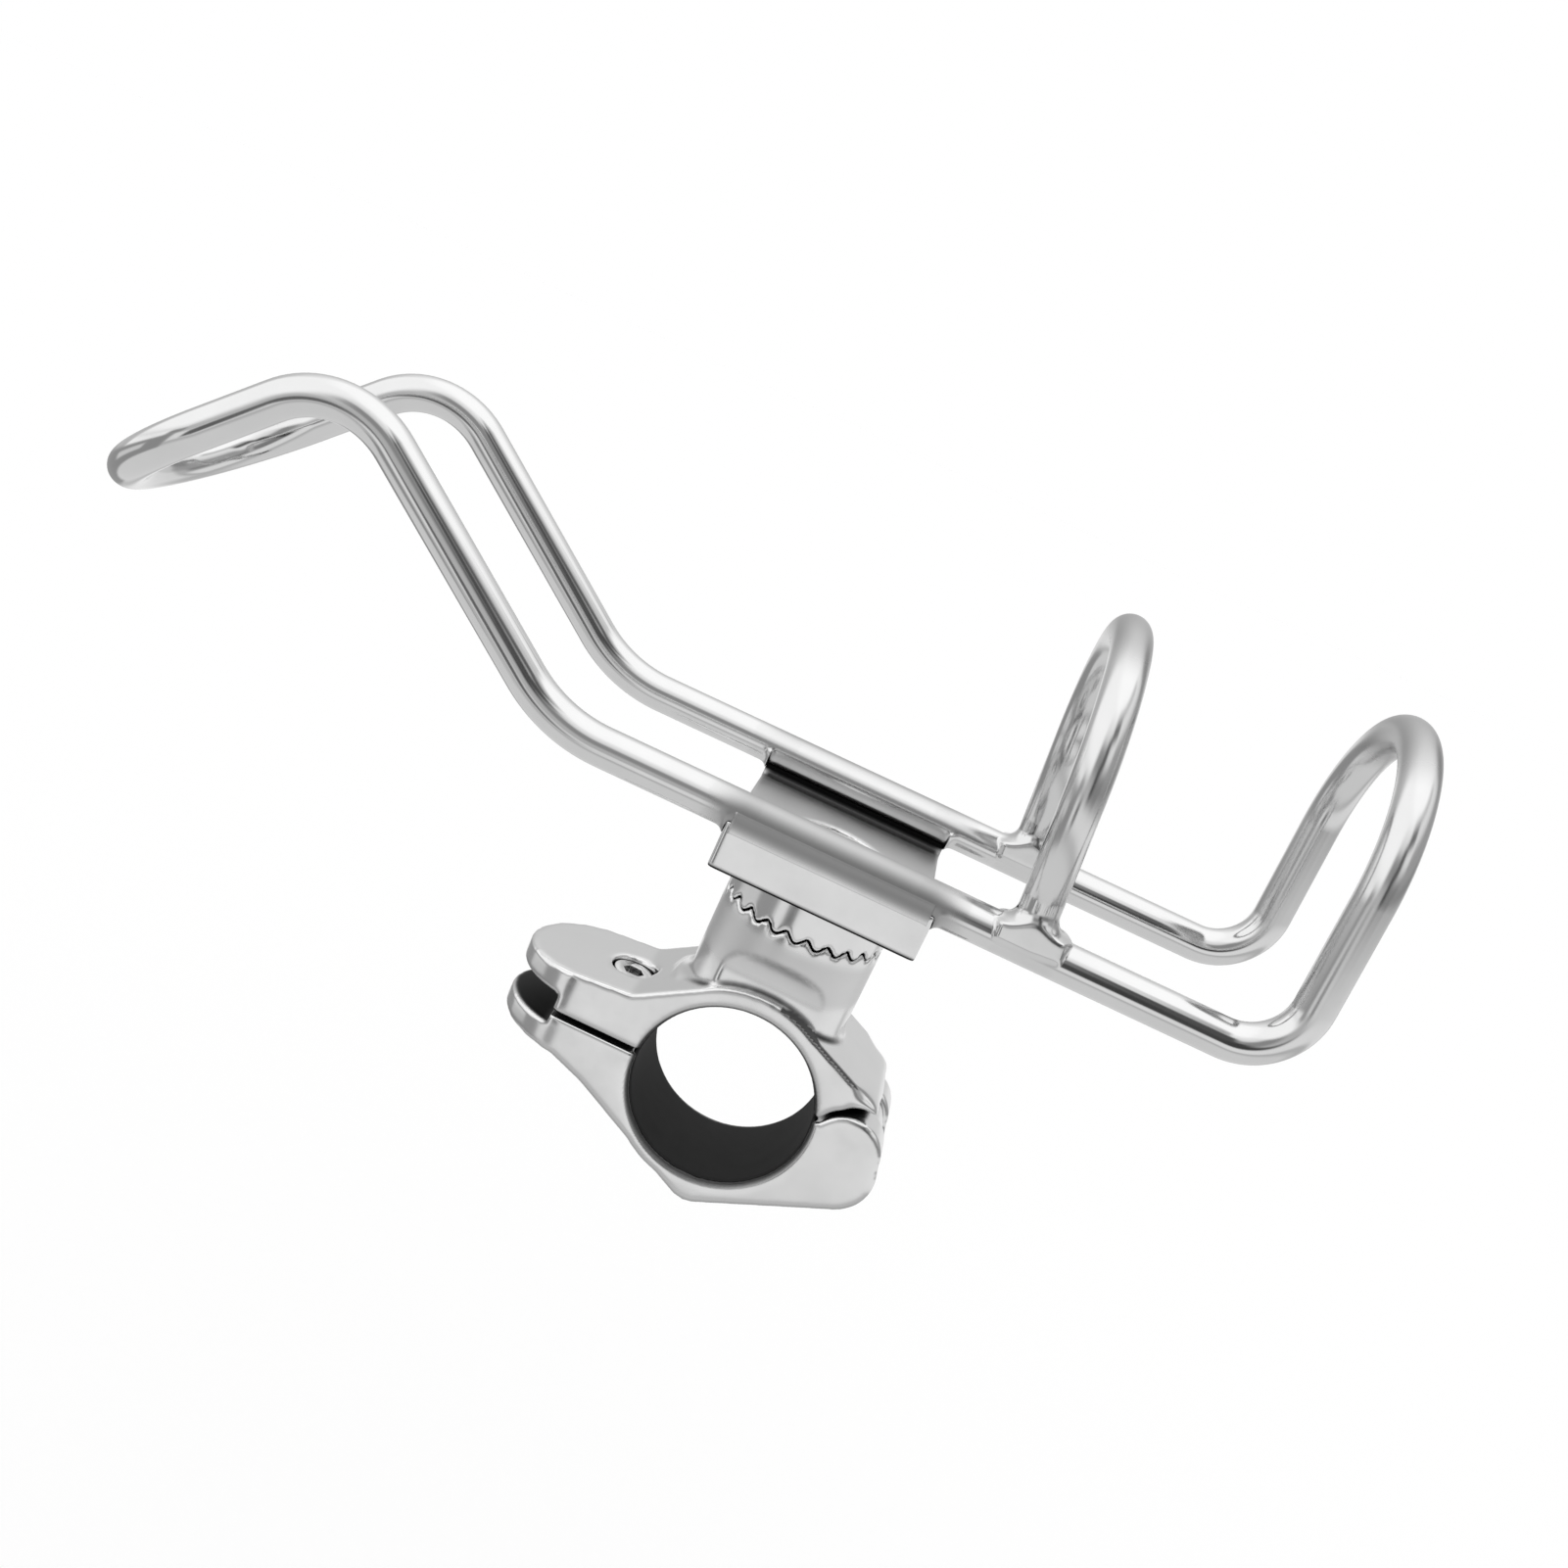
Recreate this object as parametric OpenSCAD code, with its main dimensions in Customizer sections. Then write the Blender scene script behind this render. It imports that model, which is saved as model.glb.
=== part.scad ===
// Rail-mount rod holder in polished stainless steel. A bent-rod cradle is welded to a
// swivel head, which turns on a toothed joint above a hinged rail clamp.
// Millimetres. The origin is the centre of the rail bore: +X runs along the cradle
// towards the rear hoop, +Y along the rail, +Z up the swivel axis.

/* [Cradle rod] */
// Diameter of the round bar that the cradle is bent from
rod_d = 8; // [6:0.5:10]
// Distance between the centre lines of the two long bars
bar_spacing = 54.4; // [46:1:66]
// Length of the level bars, from the lower bend's corner to the rear bend's corner
bar_len = 149.4; // [130:0.5:200]
// How far the rear bend's corner lies behind the swivel axis
rear_reach = 91; // [70:1:110]
// Length of the rising stretch, between its two corners
rise_len = 73; // [65:0.2:110]
// Angle of the rising stretch above the level bars
rise_angle = 37; // [25:0.1:50]
// Length of the front loop, from its corner to the centre line of its tip
loop_len = 58.6; // [54:0.5:80]
// Angle of the front loop below the level
loop_droop = 42.7; // [20:0.1:50]
// Height of the rear hoop's centre line above the level bars
rear_hoop_h = 61.6; // [52:0.5:90]
// Angle that the rear hoop leans forward
rear_hoop_lean = 0.9; // [0:0.1:8]
// Centre-line radius of the bend at the top of the rise
front_bend_r = 18.5; // [12:0.5:22]
// Centre-line radius of the bend at the foot of the rise
lower_bend_r = 30.5; // [14:0.5:36]
// Centre-line radius of the bend under the rear hoop
rear_bend_r = 12.3; // [9:0.5:18]

/* [Middle hoop] */
// How far the middle hoop's feet stand behind the swivel axis
mid_hoop_x = 38.7; // [34:0.2:55]
// Height of its centre line above the level bars, measured along the hoop
mid_hoop_h = 57.1; // [46:0.5:80]
// Angle that it leans forward
mid_hoop_lean = 5.2; // [0:0.1:14]
// Radius of the weld fillet round each foot
weld_r = 3.6; // [3:0.25:6]
// How far the weld stands proud of the bar's sides
weld_wrap = 0.6; // [0.3:0.1:1.2]

/* [Swivel head] */
// Length of the saddle block along the bars
block_len = 42.4; // [36:0.2:52]
// Height of the saddle block's outer walls, which hold the bars
block_h = 10; // [8.5:0.1:13]
// How far the outer walls stop below the bars' centre lines
wall_drop = 1.2; // [0.8:0.1:2.5]
// How far the block stands proud of the bars on each side
block_proud = 0.2; // [0.1:0.05:1]
// Depth of the channel between the bars, below the top of the walls
channel_depth = 4.8; // [3.8:0.1:6]
// Width of the ledge under the inner side of each bar
ledge_w = 2.4; // [1.5:0.1:3.5]
// Size of the weld fillets where the bars leave the block
end_weld = 1.8; // [1:0.1:2.5]
// Diameter of the toothed joint
joint_d = 34.6; // [30:0.2:40]
// Height of the head's round foot, from the middle of the teeth to the block
head_foot_h = 11; // [9:0.1:16]
// Number of teeth round the joint
tooth_count = 24; // [12:1:36]
// Slope of the tooth flanks
tooth_slope = 45; // [30:1:50]
// Height of the teeth above and below the middle plane, at the rim
tooth_h = 0.95; // [0.6:0.05:1.1]
// Gap between the two sets of teeth, measured along the axis
tooth_gap = 0.5; // [0.3:0.05:1]
// Diameter of the plain recess inside the ring of teeth
tooth_bore = 20; // [16:0.5:24]

/* [Centre bolt] */
// Diameter of the bolt's shank
bolt_d = 10; // [8:0.5:12]
// Diameter of its button head
bolt_head_d = 17.5; // [15:0.5:20]
// Height of its button head
bolt_head_h = 5.5; // [4:0.1:6.5]
// Key size of its hexagon socket
bolt_key = 6; // [4:1:8]
// Outer diameter of the washer
washer_d = 20; // [19:0.5:24]
// Thickness of the washer
washer_t = 1.6; // [1:0.1:2.5]
// Depth of the counterbore that takes the washer and the head
sink_depth = 6; // [4.5:0.1:8]

/* [Rail clamp] */
// Diameter of the rail that the clamp grips
rail_d = 38; // [32:1:45]
// Width of the clamp along the rail
clamp_w = 29; // [24:0.5:36]
// Thickness of the rubber pads
pad_t = 1; // [0.6:0.1:1.4]
// Width of the steel lip at each end of a pad
lip_w = 1.6; // [1:0.1:2.5]
// How far the steel lips stand back from the rail
lip_relief = 0.25; // [0.1:0.05:0.4]
// Radius of the rounding at the mouth of the bore
mouth_r = 1.2; // [0.6:0.1:1.4]
// Gap between the two jaws
jaw_gap = 1.2; // [0.6:0.1:1.6]
// Height of the middle of the gap above the rail's centre, on the nose side
gap_rise = 1.1; // [0:0.1:2]
// Wall of the upper jaw over the rail
crown_wall = 4.6; // [3.6:0.1:7]
// Wall of the lower jaw under the rail
belly_wall = 5.8; // [4:0.1:8]
// Radius of the lower jaw's rounding under the rail
belly_r = 6.2; // [4:0.1:9]
// Height of the toothed boss above the rail's surface, to the middle of the teeth
boss_h = 19.8; // [17:0.1:28]
// Width of the boss along the rail, at its waist
boss_waist = 26.4; // [20:0.2:27]
// Height of the upper ear beside the clamp screw
upper_ear_h = 12.2; // [9:0.1:14]
// Height of the upper ear at the tip of the nose
nose_h = 9.8; // [7:0.1:13]
// Distance from the clamp screw's axis to the centre of the round nose
nose_back = 8; // [6:0.5:12]
// Depth of the lower ear at the clamp screw
lower_ear_h = 10.4; // [8:0.1:13]
// Height of the slot in the nose
slot_h = 6.4; // [3:0.1:7]
// Height of the slot's upper face above the rail's centre
slot_top = 5.1; // [2:0.1:6]
// Depth of the slot in the nose, from the tip
slot_depth = 11.3; // [6:0.1:12]

/* [Clamp screw] */
// Distance from the rail's surface to the screw's axis
screw_offset = 8.6; // [7.2:0.1:11]
// Diameter of the screw's shank
screw_d = 5; // [4:0.5:7]
// Diameter of its cap head
screw_head_d = 8.5; // [8:0.1:10.4]
// Height of its cap head
screw_head_h = 5; // [4:0.1:6.5]
// Key size of its hexagon socket
screw_key = 4; // [3:0.5:5.5]
// How far its head lies below the top of the ear
screw_sink = 1.2; // [0.4:0.1:2]
// How far it reaches into the lower jaw, below the middle of the gap
screw_reach = 6; // [4:0.1:7]

/* [Hinge] */
// Outer radius of the hinge knuckles
knuckle_r = 7.8; // [7:0.1:10]
// Wall between the rail and the knuckles
knuckle_wall = 0.4; // [0.4:0.1:3]
// Height of the hinge axis above the rail's centre
hinge_rise = 0.6; // [0:0.1:1.5]
// Radius of the lower jaw's heel under the hinge
heel_r = 9.1; // [8:0.1:11]
// How far the heel's centre lies below the hinge axis
heel_drop = 4.5; // [3:0.1:6]
// How far the heel's centre lies in from the hinge axis, towards the rail
heel_in = 0.3; // [0:0.1:1]
// Width of the upper jaw's lug between the two lower knuckles
lug_w = 10; // [7:0.2:14]
// Diameter of the hinge pin
pin_d = 5; // [4:0.2:7]

/* [Clearances] */
// Gap beside the lug and round its end
hinge_gap = 0.3; // [0.2:0.05:0.5]
// Extra gap between the knuckles and the shoulder above them
shoulder_gap = 1.4; // [0.4:0.1:2]
// Radial clearance of a shank or pin in a hole where it turns
run_fit = 0.05; // [0.02:0.01:0.1]
// Radial clearance of a cap head or washer in its counterbore
head_fit = 0.5; // [0.2:0.05:0.8]
// Clearance between welded or pressed surfaces
seat_fit = 0.03; // [0.01:0.01:0.05]

/* [Hidden] */
$fn = 96;

steel = [0.80, 0.81, 0.82];
bright_steel = [0.88, 0.89, 0.90];
weld_steel = [0.70, 0.71, 0.72];
rubber = [0.16, 0.16, 0.17];

rod_r = rod_d / 2;
half_gauge = bar_spacing / 2;
rail_r = rail_d / 2;
joint_r = joint_d / 2;

// Steel left between the upper pad and the centre bolt's hole
bolt_floor = 3.5;

// Heights up the swivel axis
tooth_z = rail_r + boss_h;
block_z = tooth_z + head_foot_h;
block_top = block_z + block_h;
bar_z = block_top + wall_drop;
channel_z = block_top - channel_depth;
sink_z = channel_z - sink_depth;
bolt_tip_z = rail_r + pad_t + bolt_floor;

// Places along the clamp
screw_x = -(rail_r + screw_offset);
nose_x = screw_x - nose_back;
nose_r = clamp_w / 2;
nose_tip = nose_x - nose_r;
pad_r = rail_r + pad_t;
hinge_x = rail_r + knuckle_wall + knuckle_r;
hinge_step = hinge_rise + knuckle_r / 2;
lug_r = min(knuckle_r - hinge_gap, hinge_x - pad_r - hinge_gap);
heel_x = hinge_x - heel_in;
heel_z = hinge_rise - heel_drop;
lip_r = rail_r + lip_relief;
pad_w = clamp_w - 2 * lip_w;
crown_r = rail_r + crown_wall;
far = 4 * clamp_w;

// The button head's dome radius as a share of its diameter, and the sockets' depth as a
// share of their heads' height
dome_share = 0.62;
socket_share = 0.6;

// The bands that join the rods' bends to their straights
band_len = 0.8;
band_proud = 0.02;

// The cradle's corners in side view, as [x, z]
rear_corner = [rear_reach, bar_z];
lower_corner = [rear_reach - bar_len, bar_z];
front_corner = lower_corner + rise_len * [-cos(rise_angle), sin(rise_angle)];
loop_dir = [-cos(loop_droop), -sin(loop_droop)];
loop_centre = front_corner + (loop_len - half_gauge) * loop_dir;
rear_dir = [-sin(rear_hoop_lean), cos(rear_hoop_lean)];
rear_centre = rear_corner + (rear_hoop_h - half_gauge) * rear_dir;
mid_foot = [mid_hoop_x, bar_z];
mid_dir = [-sin(mid_hoop_lean), cos(mid_hoop_lean)];
mid_centre = mid_foot + (mid_hoop_h - half_gauge) * mid_dir;

function unit(v) = v / norm(v);
function turned(u, v) = acos(max(-1, min(1, u * v)));
// Distance from a corner to where its bend starts
function bend_back(u, v, r) = r * tan(turned(u, v) / 2);
// Where a line from p touches a circle of radius r round c; side is 1 or -1
function touch(p, r, side, c = [0, 0]) =
    let (a = atan2(p[1] - c[1], p[0] - c[0]) + side * acos(r / norm(p - c)))
    c + r * [cos(a), sin(a)];

// A straight bar from p to q, both [x, z], at the given y. Faces that only meet don't fuse
// into one solid, so a bent end is joined to the bend beyond it by a hair-thin band.
module bar(p, q, y, bent_start = true) {
    length = norm(q - p);
    translate([p[0], y, p[1]])
        rotate([0, atan2(q[0] - p[0], q[1] - p[1]), 0]) {
            translate([0, 0, band_len / 4]) cylinder(d = rod_d, h = length - band_len / 2);
            for (z = bent_start ? [0, length] : [length]) translate([0, 0, z])
                cylinder(r = rod_r + band_proud, h = band_len, center = true);
        }
}

// The bend at corner p, between the directions u and v
module bend(p, u, v, r, y) {
    centre = p + unit(v - u) * r / cos(turned(u, v) / 2);
    left = u[0] * v[1] - u[1] * v[0] > 0;
    start = left ? p - u * bend_back(u, v, r) : p + v * bend_back(u, v, r);
    translate([centre[0], y, centre[1]])
        rotate([90, 0, 0])
            rotate([0, 0, atan2(start[1] - centre[1], start[0] - centre[0])])
                rotate_extrude(angle = turned(u, v))
                    translate([r, 0]) circle(d = rod_d);
}

// Half a ring that joins the two sides, bulging in the direction dir
module half_ring(centre, dir) {
    translate([centre[0], 0, centre[1]])
        rotate([0, atan2(-dir[1], dir[0]), 0])
            rotate([0, 0, -90])
                rotate_extrude(angle = 180)
                    translate([half_gauge, 0]) circle(d = rod_d);
}

// Draws its children at both long bars, mirrored
module both_sides() {
    children();
    mirror([0, 1, 0]) children();
}

// Extrudes an outline drawn in x and z across the clamp, to the width w
module across(w) {
    rotate([90, 0, 0]) linear_extrude(height = w, center = true) children();
}

// A hexagon socket of the given key size, sunk from the top
module hex_socket(key, depth) {
    translate([0, 0, -depth]) cylinder(d = key / cos(30), h = depth + 1, $fn = 6);
}

module cradle_rod() {
    back = [1, 0];
    rise = unit(front_corner - lower_corner);
    color(steel) {
        both_sides() {
            bar(front_corner + loop_dir * bend_back(rise, loop_dir, front_bend_r), loop_centre, half_gauge);
            bend(front_corner, rise, loop_dir, front_bend_r, half_gauge);
            bar(front_corner - rise * bend_back(rise, loop_dir, front_bend_r),
                lower_corner + rise * bend_back(-rise, back, lower_bend_r), half_gauge);
            bend(lower_corner, -rise, back, lower_bend_r, half_gauge);
            bar(lower_corner + back * bend_back(-rise, back, lower_bend_r),
                rear_corner - back * bend_back(back, rear_dir, rear_bend_r), half_gauge);
            bend(rear_corner, back, rear_dir, rear_bend_r, half_gauge);
            bar(rear_corner + rear_dir * bend_back(back, rear_dir, rear_bend_r), rear_centre, half_gauge);
        }
        half_ring(loop_centre, loop_dir);
        half_ring(rear_centre, rear_dir);
    }
}

// The long bar's straight part with some room round it, for coping what is welded on it
module bar_room(room) {
    translate([-far, half_gauge, bar_z])
        rotate([0, 90, 0]) cylinder(r = rod_r + room, h = 2 * far);
}

module middle_hoop() {
    color(steel) {
        both_sides() difference() {
            bar(mid_foot, mid_centre, half_gauge, bent_start = false);
            bar_room(seat_fit);
        }
        half_ring(mid_centre, mid_dir);
    }
}

// One weld: a flared collar round the hoop's leg, trimmed to the bar below it
module foot_weld() {
    flare = rod_r + weld_r;
    difference() {
        intersection() {
            translate([mid_foot[0], half_gauge, mid_foot[1]])
                rotate([0, -mid_hoop_lean, 0])
                    rotate_extrude()
                        difference() {
                            square([flare, flare]);
                            translate([flare, flare]) circle(r = weld_r);
                        }
            translate([mid_foot[0] - far, half_gauge - rod_r - weld_wrap, bar_z])
                cube([2 * far, rod_d + 2 * weld_wrap, far]);
        }
        bar_room(seat_fit);
        translate([mid_foot[0], half_gauge, mid_foot[1]])
            rotate([0, -mid_hoop_lean, 0])
                cylinder(r = rod_r + seat_fit, h = 2 * flare);
    }
}

module hoop_welds() {
    color(weld_steel) both_sides() foot_weld();
}

// The wedge-shaped groove between two teeth, opening upwards along +X from the axis
module tooth_groove() {
    quarter = 90 / tooth_count;
    reach = joint_d;
    intersection() {
        rotate([0, 0, quarter]) rotate([tooth_slope, 0, 0])
            translate([0, -reach, 0]) cube([reach, 2 * reach, reach]);
        rotate([0, 0, -quarter]) rotate([-tooth_slope, 0, 0])
            translate([0, -reach, 0]) cube([reach, 2 * reach, reach]);
    }
}

// A round of teeth pointing up from z = 0, cut into a disc that reaches down to -depth
module tooth_ring(depth) {
    difference() {
        translate([0, 0, -depth]) cylinder(r = joint_r, h = depth + tooth_h);
        for (i = [0 : tooth_count - 1])
            rotate([0, 0, i * 360 / tooth_count]) tooth_groove();
        translate([0, 0, -2 * tooth_h]) cylinder(d = tooth_bore, h = 4 * tooth_h);
    }
}

module swivel_head() {
    half_w = half_gauge + rod_r + block_proud;
    inner = half_gauge - ledge_w;
    color(steel) difference() {
        union() {
            translate([-block_len / 2, -half_w, block_z]) cube([block_len, 2 * half_w, block_h]);
            translate([0, 0, tooth_z + tooth_gap / 2])
                rotate([180, 0, 180 / tooth_count]) tooth_ring(head_foot_h + 1);
        }
        translate([-far, -inner, channel_z]) cube([2 * far, 2 * inner, far]);
        both_sides() bar_room(seat_fit);
        translate([0, 0, tooth_z]) cylinder(r = bolt_d / 2 + run_fit, h = far);
        translate([0, 0, sink_z]) cylinder(r = washer_d / 2 + head_fit, h = far);
    }
}

// One weld where a bar leaves the block: a hollow fillet round the bar's lower half
module bar_end_weld() {
    reach = rod_r + end_weld;
    difference() {
        intersection() {
            translate([block_len / 2 + seat_fit, half_gauge, bar_z]) rotate([0, 90, 0])
                rotate_extrude() difference() {
                    square([reach, end_weld]);
                    translate([reach, end_weld]) circle(r = end_weld);
                }
            translate([0, half_gauge - rod_r - end_weld, bar_z - far])
                cube([far, rod_d + end_weld + block_proud, far]);
        }
        bar_room(seat_fit);
    }
}

module saddle_welds() {
    color(weld_steel) both_sides() {
        bar_end_weld();
        mirror([1, 0, 0]) bar_end_weld();
    }
}

module centre_bolt() {
    dome_r = bolt_head_d * dome_share;
    head_z = sink_z + washer_t;
    color(bright_steel) difference() {
        union() {
            translate([0, 0, bolt_tip_z]) cylinder(d = bolt_d, h = head_z - bolt_tip_z + 1);
            intersection() {
                translate([0, 0, head_z]) cylinder(d = bolt_head_d, h = bolt_head_h);
                translate([0, 0, head_z + bolt_head_h - dome_r]) sphere(r = dome_r);
            }
        }
        translate([0, 0, head_z + bolt_head_h]) hex_socket(bolt_key, bolt_head_h * socket_share);
    }
}

module bolt_washer() {
    color(bright_steel) translate([0, 0, sink_z]) difference() {
        cylinder(d = washer_d, h = washer_t);
        translate([0, 0, -1]) cylinder(r = bolt_d / 2 + run_fit, h = washer_t + 2);
    }
}

// Everything above the parting face, which steps up beside the hinge
module above_parting(gap) {
    translate([-far, gap_rise + gap / 2]) square([far, far]);
    translate([-1, hinge_step + gap / 2]) square([far, far]);
}

module below_parting(gap) {
    translate([-far, gap_rise - gap / 2 - far]) square([far + 1, far]);
    translate([0, hinge_step - gap / 2 - far]) square([far, far]);
}

// The upper jaw's solid form: the crown over the rail, the ear out to the nose and the
// shoulder down to the hinge. Tangent points lie a hair inside their circles, so that the
// shapes cross and fuse.
module upper_form() {
    ear_run = 2.5;
    tip_out = 2.7;
    tip_up = 3.8;
    tip_end = [1.7, -3.1];
    cut_end = [2.2, -1];
    ear = [screw_x + ear_run, upper_ear_h];
    tip = [hinge_x + tip_out, hinge_rise + knuckle_r + tip_up];
    across(clamp_w) circle(r = crown_r);
    across(clamp_w)
        polygon([[nose_tip, 0], [nose_tip, nose_h], ear,
                 touch(ear, crown_r - seat_fit, -1), touch(tip, crown_r - seat_fit, 1), tip,
                 tip + tip_end, [hinge_x, hinge_rise + knuckle_r] + cut_end, [hinge_x, 0]]);
}

// The lower jaw's solid form: the ring round the rail, the belly and the heel with the flat
// between them, and the arm out to the nose.
module lower_form() {
    ring_step = 1.2;
    belly_x = 1.8;
    nose_under = 6;
    arm_rise = 3;
    elbow_in = [5, 1.5];
    seat_in = 4;
    belly = [belly_x, belly_r - rail_r - belly_wall];
    heel = [heel_x, heel_z];
    elbow = elbow_in - [rail_r, rail_r];
    flat_dir = atan2(heel[1] - belly[1], heel[0] - belly[0]) - acos((belly_r - heel_r) / norm(heel - belly));
    flat = [cos(flat_dir), sin(flat_dir)];
    across(clamp_w) circle(r = crown_r - ring_step);
    across(clamp_w) translate(belly) circle(r = belly_r);
    across(clamp_w) translate(heel) circle(r = heel_r);
    across(clamp_w)
        polygon([[nose_tip, gap_rise], [nose_tip, -nose_under], [nose_x, arm_rise - lower_ear_h],
                 [screw_x, -lower_ear_h], elbow, touch(elbow, belly_r - seat_fit, 1, belly),
                 belly + (belly_r - seat_fit) * flat, heel + (heel_r - seat_fit) * flat, heel,
                 [pad_r, hinge_step], [rail_r - seat_in, hinge_step], [0, gap_rise]]);
}

// The clamp seen from above: straight sides with a round nose
module plan() {
    translate([nose_x, 0, -far]) cylinder(r = nose_r, h = 2 * far);
    translate([nose_x, -nose_r, -far]) cube([far * 2, clamp_w, 2 * far]);
}

// What the rail and its pads take out of the jaws: a bore with a rounded mouth and a pad seat
module rail_room() {
    rotate([90, 0, 0]) {
        cylinder(r = lip_r, h = 2 * clamp_w, center = true);
        cylinder(r = pad_r + seat_fit, h = pad_w + 2 * seat_fit, center = true);
        for (side = [0, 180]) rotate([side, 0, 0])
            translate([0, 0, clamp_w / 2]) rotate_extrude() difference() {
                translate([0, -mouth_r]) square([lip_r + mouth_r, 2 * mouth_r]);
                translate([lip_r + mouth_r, -mouth_r]) circle(r = mouth_r);
            }
    }
}

// A cylinder along the hinge axis
module hinge_round(r, w) {
    translate([hinge_x, 0, hinge_rise]) rotate([90, 0, 0]) cylinder(r = r, h = w, center = true);
}

// The boss under the teeth: round above, waisted along the rail, flared into the jaw
module boss() {
    foot_z = rail_r / 2;
    flare_r = 4;
    flare_up = 1.2;
    flare_out = 2.6;
    flare_z = rail_r + flare_up;
    waist = boss_waist / 2;
    waist_up = 1.4;
    waist_z = crown_r + waist_up;
    hollow_r = 9;
    intersection() {
        union() {
            translate([0, 0, foot_z]) cylinder(r = joint_r, h = tooth_z - 1 - foot_z);
            translate([0, 0, foot_z]) rotate_extrude() difference() {
                square([joint_r + flare_out, flare_z - foot_z]);
                translate([joint_r + flare_r, flare_z - foot_z]) circle(r = flare_r);
            }
        }
        rotate([90, 0, 90]) linear_extrude(height = far, center = true) difference() {
            translate([-joint_r - 1, 0]) square([joint_d + 2, far]);
            for (side = [-1, 1]) {
                translate([side * (waist + hollow_r), waist_z]) circle(r = hollow_r);
                translate([side * (waist + hollow_r) - hollow_r, -1]) square([2 * hollow_r, waist_z + 1]);
            }
        }
    }
}

// The room over the two knuckles, wider above them than beside the rail
module knuckle_room() {
    offset = shoulder_gap / 2;
    difference() {
        translate([offset, 0, offset]) hinge_round(knuckle_r + hinge_gap + offset, 2 * clamp_w);
        hinge_round(2 * knuckle_r, lug_w);
    }
}

module upper_jaw() {
    color(steel) difference() {
        union() {
            difference() {
                union() {
                    intersection() {
                        upper_form();
                        across(2 * clamp_w) above_parting(jaw_gap);
                        plan();
                    }
                    boss();
                }
                knuckle_room();
            }
            hinge_round(lug_r, lug_w);
            translate([0, 0, tooth_z - tooth_gap / 2]) tooth_ring(2);
        }
        rail_room();
        hinge_round(pin_d / 2 + run_fit, 2 * clamp_w);
        translate([0, 0, bolt_tip_z - 1]) cylinder(r = bolt_d / 2 + run_fit, h = far);
        screw_room();
        translate([nose_tip - 1, -clamp_w, slot_top - far])
            cube([slot_depth + 1, 2 * clamp_w, far]);
    }
}

// The clamp screw's hole and counterbore in the upper ear
module screw_room() {
    translate([screw_x, 0, 0]) cylinder(r = screw_d / 2 + head_fit, h = upper_ear_h);
    translate([screw_x, 0, upper_ear_h - screw_sink - screw_head_h])
        cylinder(r = screw_head_d / 2 + head_fit, h = far);
}

module lower_jaw() {
    color(steel) difference() {
        union() {
            intersection() {
                lower_form();
                across(2 * clamp_w) below_parting(jaw_gap);
                plan();
            }
            hinge_round(knuckle_r, clamp_w);
        }
        hinge_round(knuckle_r + hinge_gap, lug_w + 2 * hinge_gap);
        translate([0, -lug_w / 2 - hinge_gap, 0]) cube([far, lug_w + 2 * hinge_gap, far]);
        rail_room();
        hinge_round(pin_d / 2 + seat_fit, 2 * clamp_w);
        translate([screw_x, 0, -far]) cylinder(r = screw_d / 2 + run_fit, h = 2 * far);
        translate([nose_tip - 1, -clamp_w, slot_top - slot_h])
            cube([slot_depth + 1, 2 * clamp_w, far]);
    }
}

// The ring that both pads are cut from
module pad_ring() {
    difference() {
        circle(r = pad_r);
        circle(r = rail_r);
    }
}

module upper_rail_pad() {
    color(rubber) across(pad_w) intersection() {
        pad_ring();
        above_parting(jaw_gap);
    }
}

module lower_rail_pad() {
    color(rubber) across(pad_w) intersection() {
        pad_ring();
        below_parting(jaw_gap);
    }
}

module hinge_pin() {
    color(bright_steel) hinge_round(pin_d / 2, clamp_w - 2 * seat_fit);
}

module clamp_screw() {
    top_z = upper_ear_h - screw_sink;
    color(bright_steel) translate([screw_x, 0, 0]) difference() {
        union() {
            translate([0, 0, -screw_reach]) cylinder(d = screw_d, h = screw_reach + top_z - 1);
            translate([0, 0, top_z - screw_head_h]) cylinder(d = screw_head_d, h = screw_head_h);
        }
        translate([0, 0, top_z]) hex_socket(screw_key, screw_head_h * socket_share);
    }
}

cradle_rod();
middle_hoop();
hoop_welds();
swivel_head();
saddle_welds();
centre_bolt();
bolt_washer();
upper_jaw();
lower_jaw();
upper_rail_pad();
lower_rail_pad();
hinge_pin();
clamp_screw();
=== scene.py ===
import bmesh
import bpy
import numpy as np
from mathutils import Matrix, Vector


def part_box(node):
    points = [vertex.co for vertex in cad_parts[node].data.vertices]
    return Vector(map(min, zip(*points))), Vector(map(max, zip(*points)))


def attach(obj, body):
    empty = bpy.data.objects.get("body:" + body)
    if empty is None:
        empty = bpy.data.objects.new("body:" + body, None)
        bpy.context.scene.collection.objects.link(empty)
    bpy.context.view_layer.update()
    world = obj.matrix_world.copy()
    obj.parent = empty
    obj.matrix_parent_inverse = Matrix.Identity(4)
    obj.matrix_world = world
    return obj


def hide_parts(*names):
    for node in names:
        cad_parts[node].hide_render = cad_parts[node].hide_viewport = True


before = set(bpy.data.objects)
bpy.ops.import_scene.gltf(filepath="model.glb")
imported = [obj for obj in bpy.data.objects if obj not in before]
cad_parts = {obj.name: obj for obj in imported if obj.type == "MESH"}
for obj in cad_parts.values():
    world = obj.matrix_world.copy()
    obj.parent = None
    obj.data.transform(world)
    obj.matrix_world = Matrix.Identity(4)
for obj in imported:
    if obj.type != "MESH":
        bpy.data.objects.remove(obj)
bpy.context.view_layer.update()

# ---- The camera -------------------------------------------------------------------------
# The photograph looks down on the holder from the front, a little over 0.3 m away, with the
# camera rolled so that the level bars run down to the right. The lens is a 38 mm one.
W, H = 1568, 1568
LENS, SENSOR = 38.226, 36.0
LONG = max(W, H)
EYE = Vector((-6.246, -323.549, 152.547)) / 1000
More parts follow.
